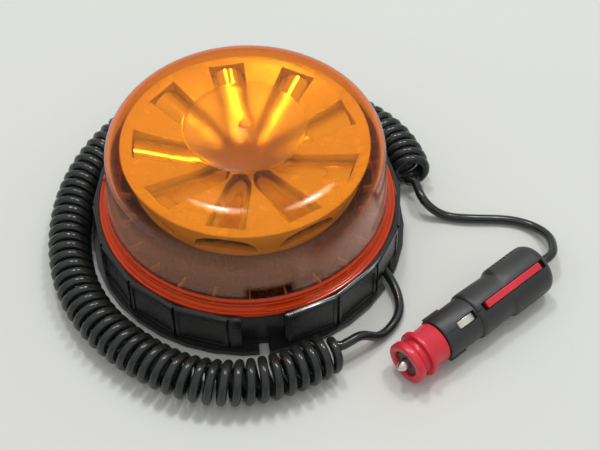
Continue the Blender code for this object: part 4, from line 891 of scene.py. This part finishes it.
def make_plug(black, red, nickel):
    """The vehicle plug: its body, adaptor sleeve, tip, side contacts and locking bar."""
    place = plug_place()
    body = loft("plug_body", [oval(*ring) for ring in PLUG_RINGS])
    wings = [side_block(f"wing {side}", side, WING_SPAN, WING_DEPTH, WING_HALF) for side in (-1, 1)]
    shaped(body, wings, "UNION")
    tools = [
        box("contact slot", (CONTACT_SLOT[0], -SLOT_HALF, -FAR), (CONTACT_SLOT[1], SLOT_HALF, FAR)),
        box("bar slot", (BAR_SLOT[0], -SLOT_HALF, BAR_SLOT_FLOOR), (BAR_SLOT[1], SLOT_HALF, FAR)),
        box("seam", (SEAM[0], -SEAM_HALF, SEAM_FLOOR), (SEAM[1], SEAM_HALF, FAR)),
        hole("tip hole", TIP_HOLE, TIP_HOLE_RADIUS),
        hole("cord hole", CORD_HOLE, CORD_HOLE_RADIUS),
    ]
    for side in (-1, 1):
        for k in range(RIBS):
            x = RIB_START + RIB_PITCH * k
            tools.append(side_block(f"rib {side} {k}", side, (x, x + RIB_WIDTH), RIB_DEPTH, RIB_HALF))
    shaped(body, tools)
    body.data.transform(place)
    shells = ["plug_shell_left", "plug_shell_right"]
    finished(body, black, "beacon", shells, angle=30, bevel=0.2, limit=35)

    along = place @ Matrix.Rotation(math.pi / 2, 4, "Y")
    sleeve = turned("sleeve", SLEEVE_SECTION, SLEEVE_STEPS, along)
    finished(sleeve, red, "adaptor", ["adaptor_sleeve"], angle=40)
    tip = turned("tip_pin", TIP_SECTION, TIP_STEPS, along)
    finished(tip, nickel, "tip", ["tip_contact"], angle=40)
    outline = [(BLADE_START, BLADE_FOOT)]
    for k in range(BLADE_STEPS + 1):
        rise = BLADE_RISE * math.sin(math.pi * k / BLADE_STEPS) ** BLADE_ROUND
        outline.append((BLADE_START + BLADE_LENGTH * k / BLADE_STEPS, BLADE_SHOULDER + rise))
    outline.append((BLADE_START + BLADE_LENGTH, BLADE_FOOT))
    for name, side in (("upper", 1), ("lower", -1)):
        rings = [[(x, y, side * z) for x, z in outline] for y in (-BLADE_HALF, BLADE_HALF)]
        contact = loft(f"blade_{name}", rings, place)
        node = f"side_contact_{name}"
        finished(contact, nickel, f"{name}_contact", [node], angle=30, bevel=0.25, limit=30)
    bar = box("bar", *BAR_CORNERS, place)
    finished(bar, red, "lock", ["lock_slide"], angle=30, bevel=0.5, limit=30, segments=3)


def stage_floor():
    paint = Paint("pale floor")
    cloud = paint.spread(paint.noise(3.0), 0.0, 1.0)
    finish = paint.surface(
        Base_Color=paint.blend(cloud, FLOOR_DARK, FLOOR_LIGHT), Roughness=FLOOR_ROUGHNESS,
    )
    bm = bmesh.new()
    bmesh.ops.create_grid(bm, x_segments=1, y_segments=1, size=FLOOR_SIZE)
    floor = solid("floor", bm)
    floor.data.materials.append(finish)


def lamp(name, place, size, power):
    data = bpy.data.lights.new(name, "AREA")
    data.shape = "ELLIPSE"
    data.size, data.size_y = size
    data.energy = power
    made = bpy.data.objects.new(name, data)
    scene.collection.objects.link(made)
    made.matrix_world = facing(Vector(place), Vector(LAMP_AIM))


def light_up():
    """A white tent, brighter overhead than low down, with two lamps above and behind the beacon."""
    world = bpy.data.worlds.new("studio")
    scene.world = world
    world.use_nodes = True
    tree = world.node_tree
    back = tree.nodes["Background"]
    back.inputs["Color"].default_value = (1.0, 1.0, 1.0, 1.0)
    place = tree.nodes.new("ShaderNodeTexCoord")
    split = tree.nodes.new("ShaderNodeSeparateXYZ")
    tree.links.new(place.outputs["Generated"], split.inputs[0])
    fade = tree.nodes.new("ShaderNodeMapRange")
    fade.interpolation_type = "SMOOTHSTEP"
    for socket, value in zip(("From Min", "From Max", "To Min", "To Max"), TENT_FADE):
        fade.inputs[socket].default_value = value
    tree.links.new(split.outputs["Z"], fade.inputs["Value"])
    tree.links.new(fade.outputs[0], back.inputs["Strength"])
    for name, spot in LAMPS.items():
        lamp(f"{name} halo", spot, LAMP_HALO_SIZE, LAMP_HALO)
        lamp(f"{name} core", [LAMP_CORE_REACH * value for value in spot], LAMP_CORE_SIZE, LAMP_CORE)


set_camera()
cord_black = moulded("cord black", (0.011, 0.013, 0.012), (0.018, 0.021, 0.02), (0.13, 0.2))
cord = make_cord(cord_black)
base_black = base_finish()
plug_black = moulded("plug black", (0.017, 0.019, 0.018), (0.027, 0.029, 0.028), (0.36, 0.48), 0.00004)
plug_red = moulded("plug red", (0.56, 0.016, 0.032), (0.66, 0.022, 0.045), (0.25, 0.38), 0.00002)
nickel = moulded("nickel", (0.62, 0.6, 0.55), (0.78, 0.76, 0.71), (0.16, 0.3), 0.00001, metallic=1.0)
steel = moulded("steel", (0.5, 0.5, 0.5), (0.65, 0.65, 0.64), (0.25, 0.45), 0.00001, metallic=1.0)
rubber = moulded("rubber", (0.014, 0.014, 0.014), (0.022, 0.022, 0.022), (0.6, 0.75))
gloss_black = moulded("plinth black", (0.01, 0.01, 0.01), (0.018, 0.018, 0.018), (0.2, 0.32))
board_white = moulded("board white", (0.7, 0.7, 0.68), (0.8, 0.8, 0.78), (0.4, 0.5))
make_base(base_black)
make_lens(lens_finish())
satin_silver = reflector_finish("reflector satin", (0.22, 0.3), 0.12)
make_optic(satin_silver, reflector_finish("reflector bright", (0.07, 0.1), 0.95), arch_finish())
make_inside(gloss_black, board_white, gasket_finish(), satin_silver)
make_plug(plug_black, plug_red, nickel)

slot_finish = {
    "base_black": base_black, "rubber": rubber, "steel": steel, "nickel": nickel,
    "ferrite": moulded("ferrite", (0.05, 0.05, 0.055), (0.08, 0.08, 0.085), (0.4, 0.55)),
    "board_green": moulded("board green", (0.03, 0.2, 0.08), (0.05, 0.27, 0.11), (0.3, 0.4)),
    "capacitor_grey": moulded("capacitor grey", (0.25, 0.25, 0.27), (0.33, 0.33, 0.35), (0.3, 0.4)),
    "inductor_black": moulded("inductor black", (0.03, 0.03, 0.03), (0.06, 0.06, 0.06), (0.5, 0.6)),
    "terminal_green": moulded("terminal green", (0.03, 0.25, 0.09), (0.05, 0.32, 0.13), (0.3, 0.4)),
    "led_white": moulded("led white", (0.85, 0.75, 0.35), (0.92, 0.86, 0.6), (0.2, 0.3)),
    "cord_black": cord_black,
    "brass": moulded("brass", (0.6, 0.42, 0.16), (0.75, 0.56, 0.25), (0.2, 0.35), metallic=1.0),
    "fuse_glass": moulded("fuse glass", (0.7, 0.75, 0.75), (0.82, 0.86, 0.86), (0.05, 0.12)),
}
slots = {part["node"]: part["material_slot"] for part in frame["record"]["subparts"]}
for name, node in frame["nodes"].items():
    if not node.hide_render and slots.get(name) in slot_finish:
        node.data.materials.clear()
        node.data.materials.append(slot_finish[slots[name]])

stage_floor()
light_up()
scene.view_settings.view_transform = "Standard"
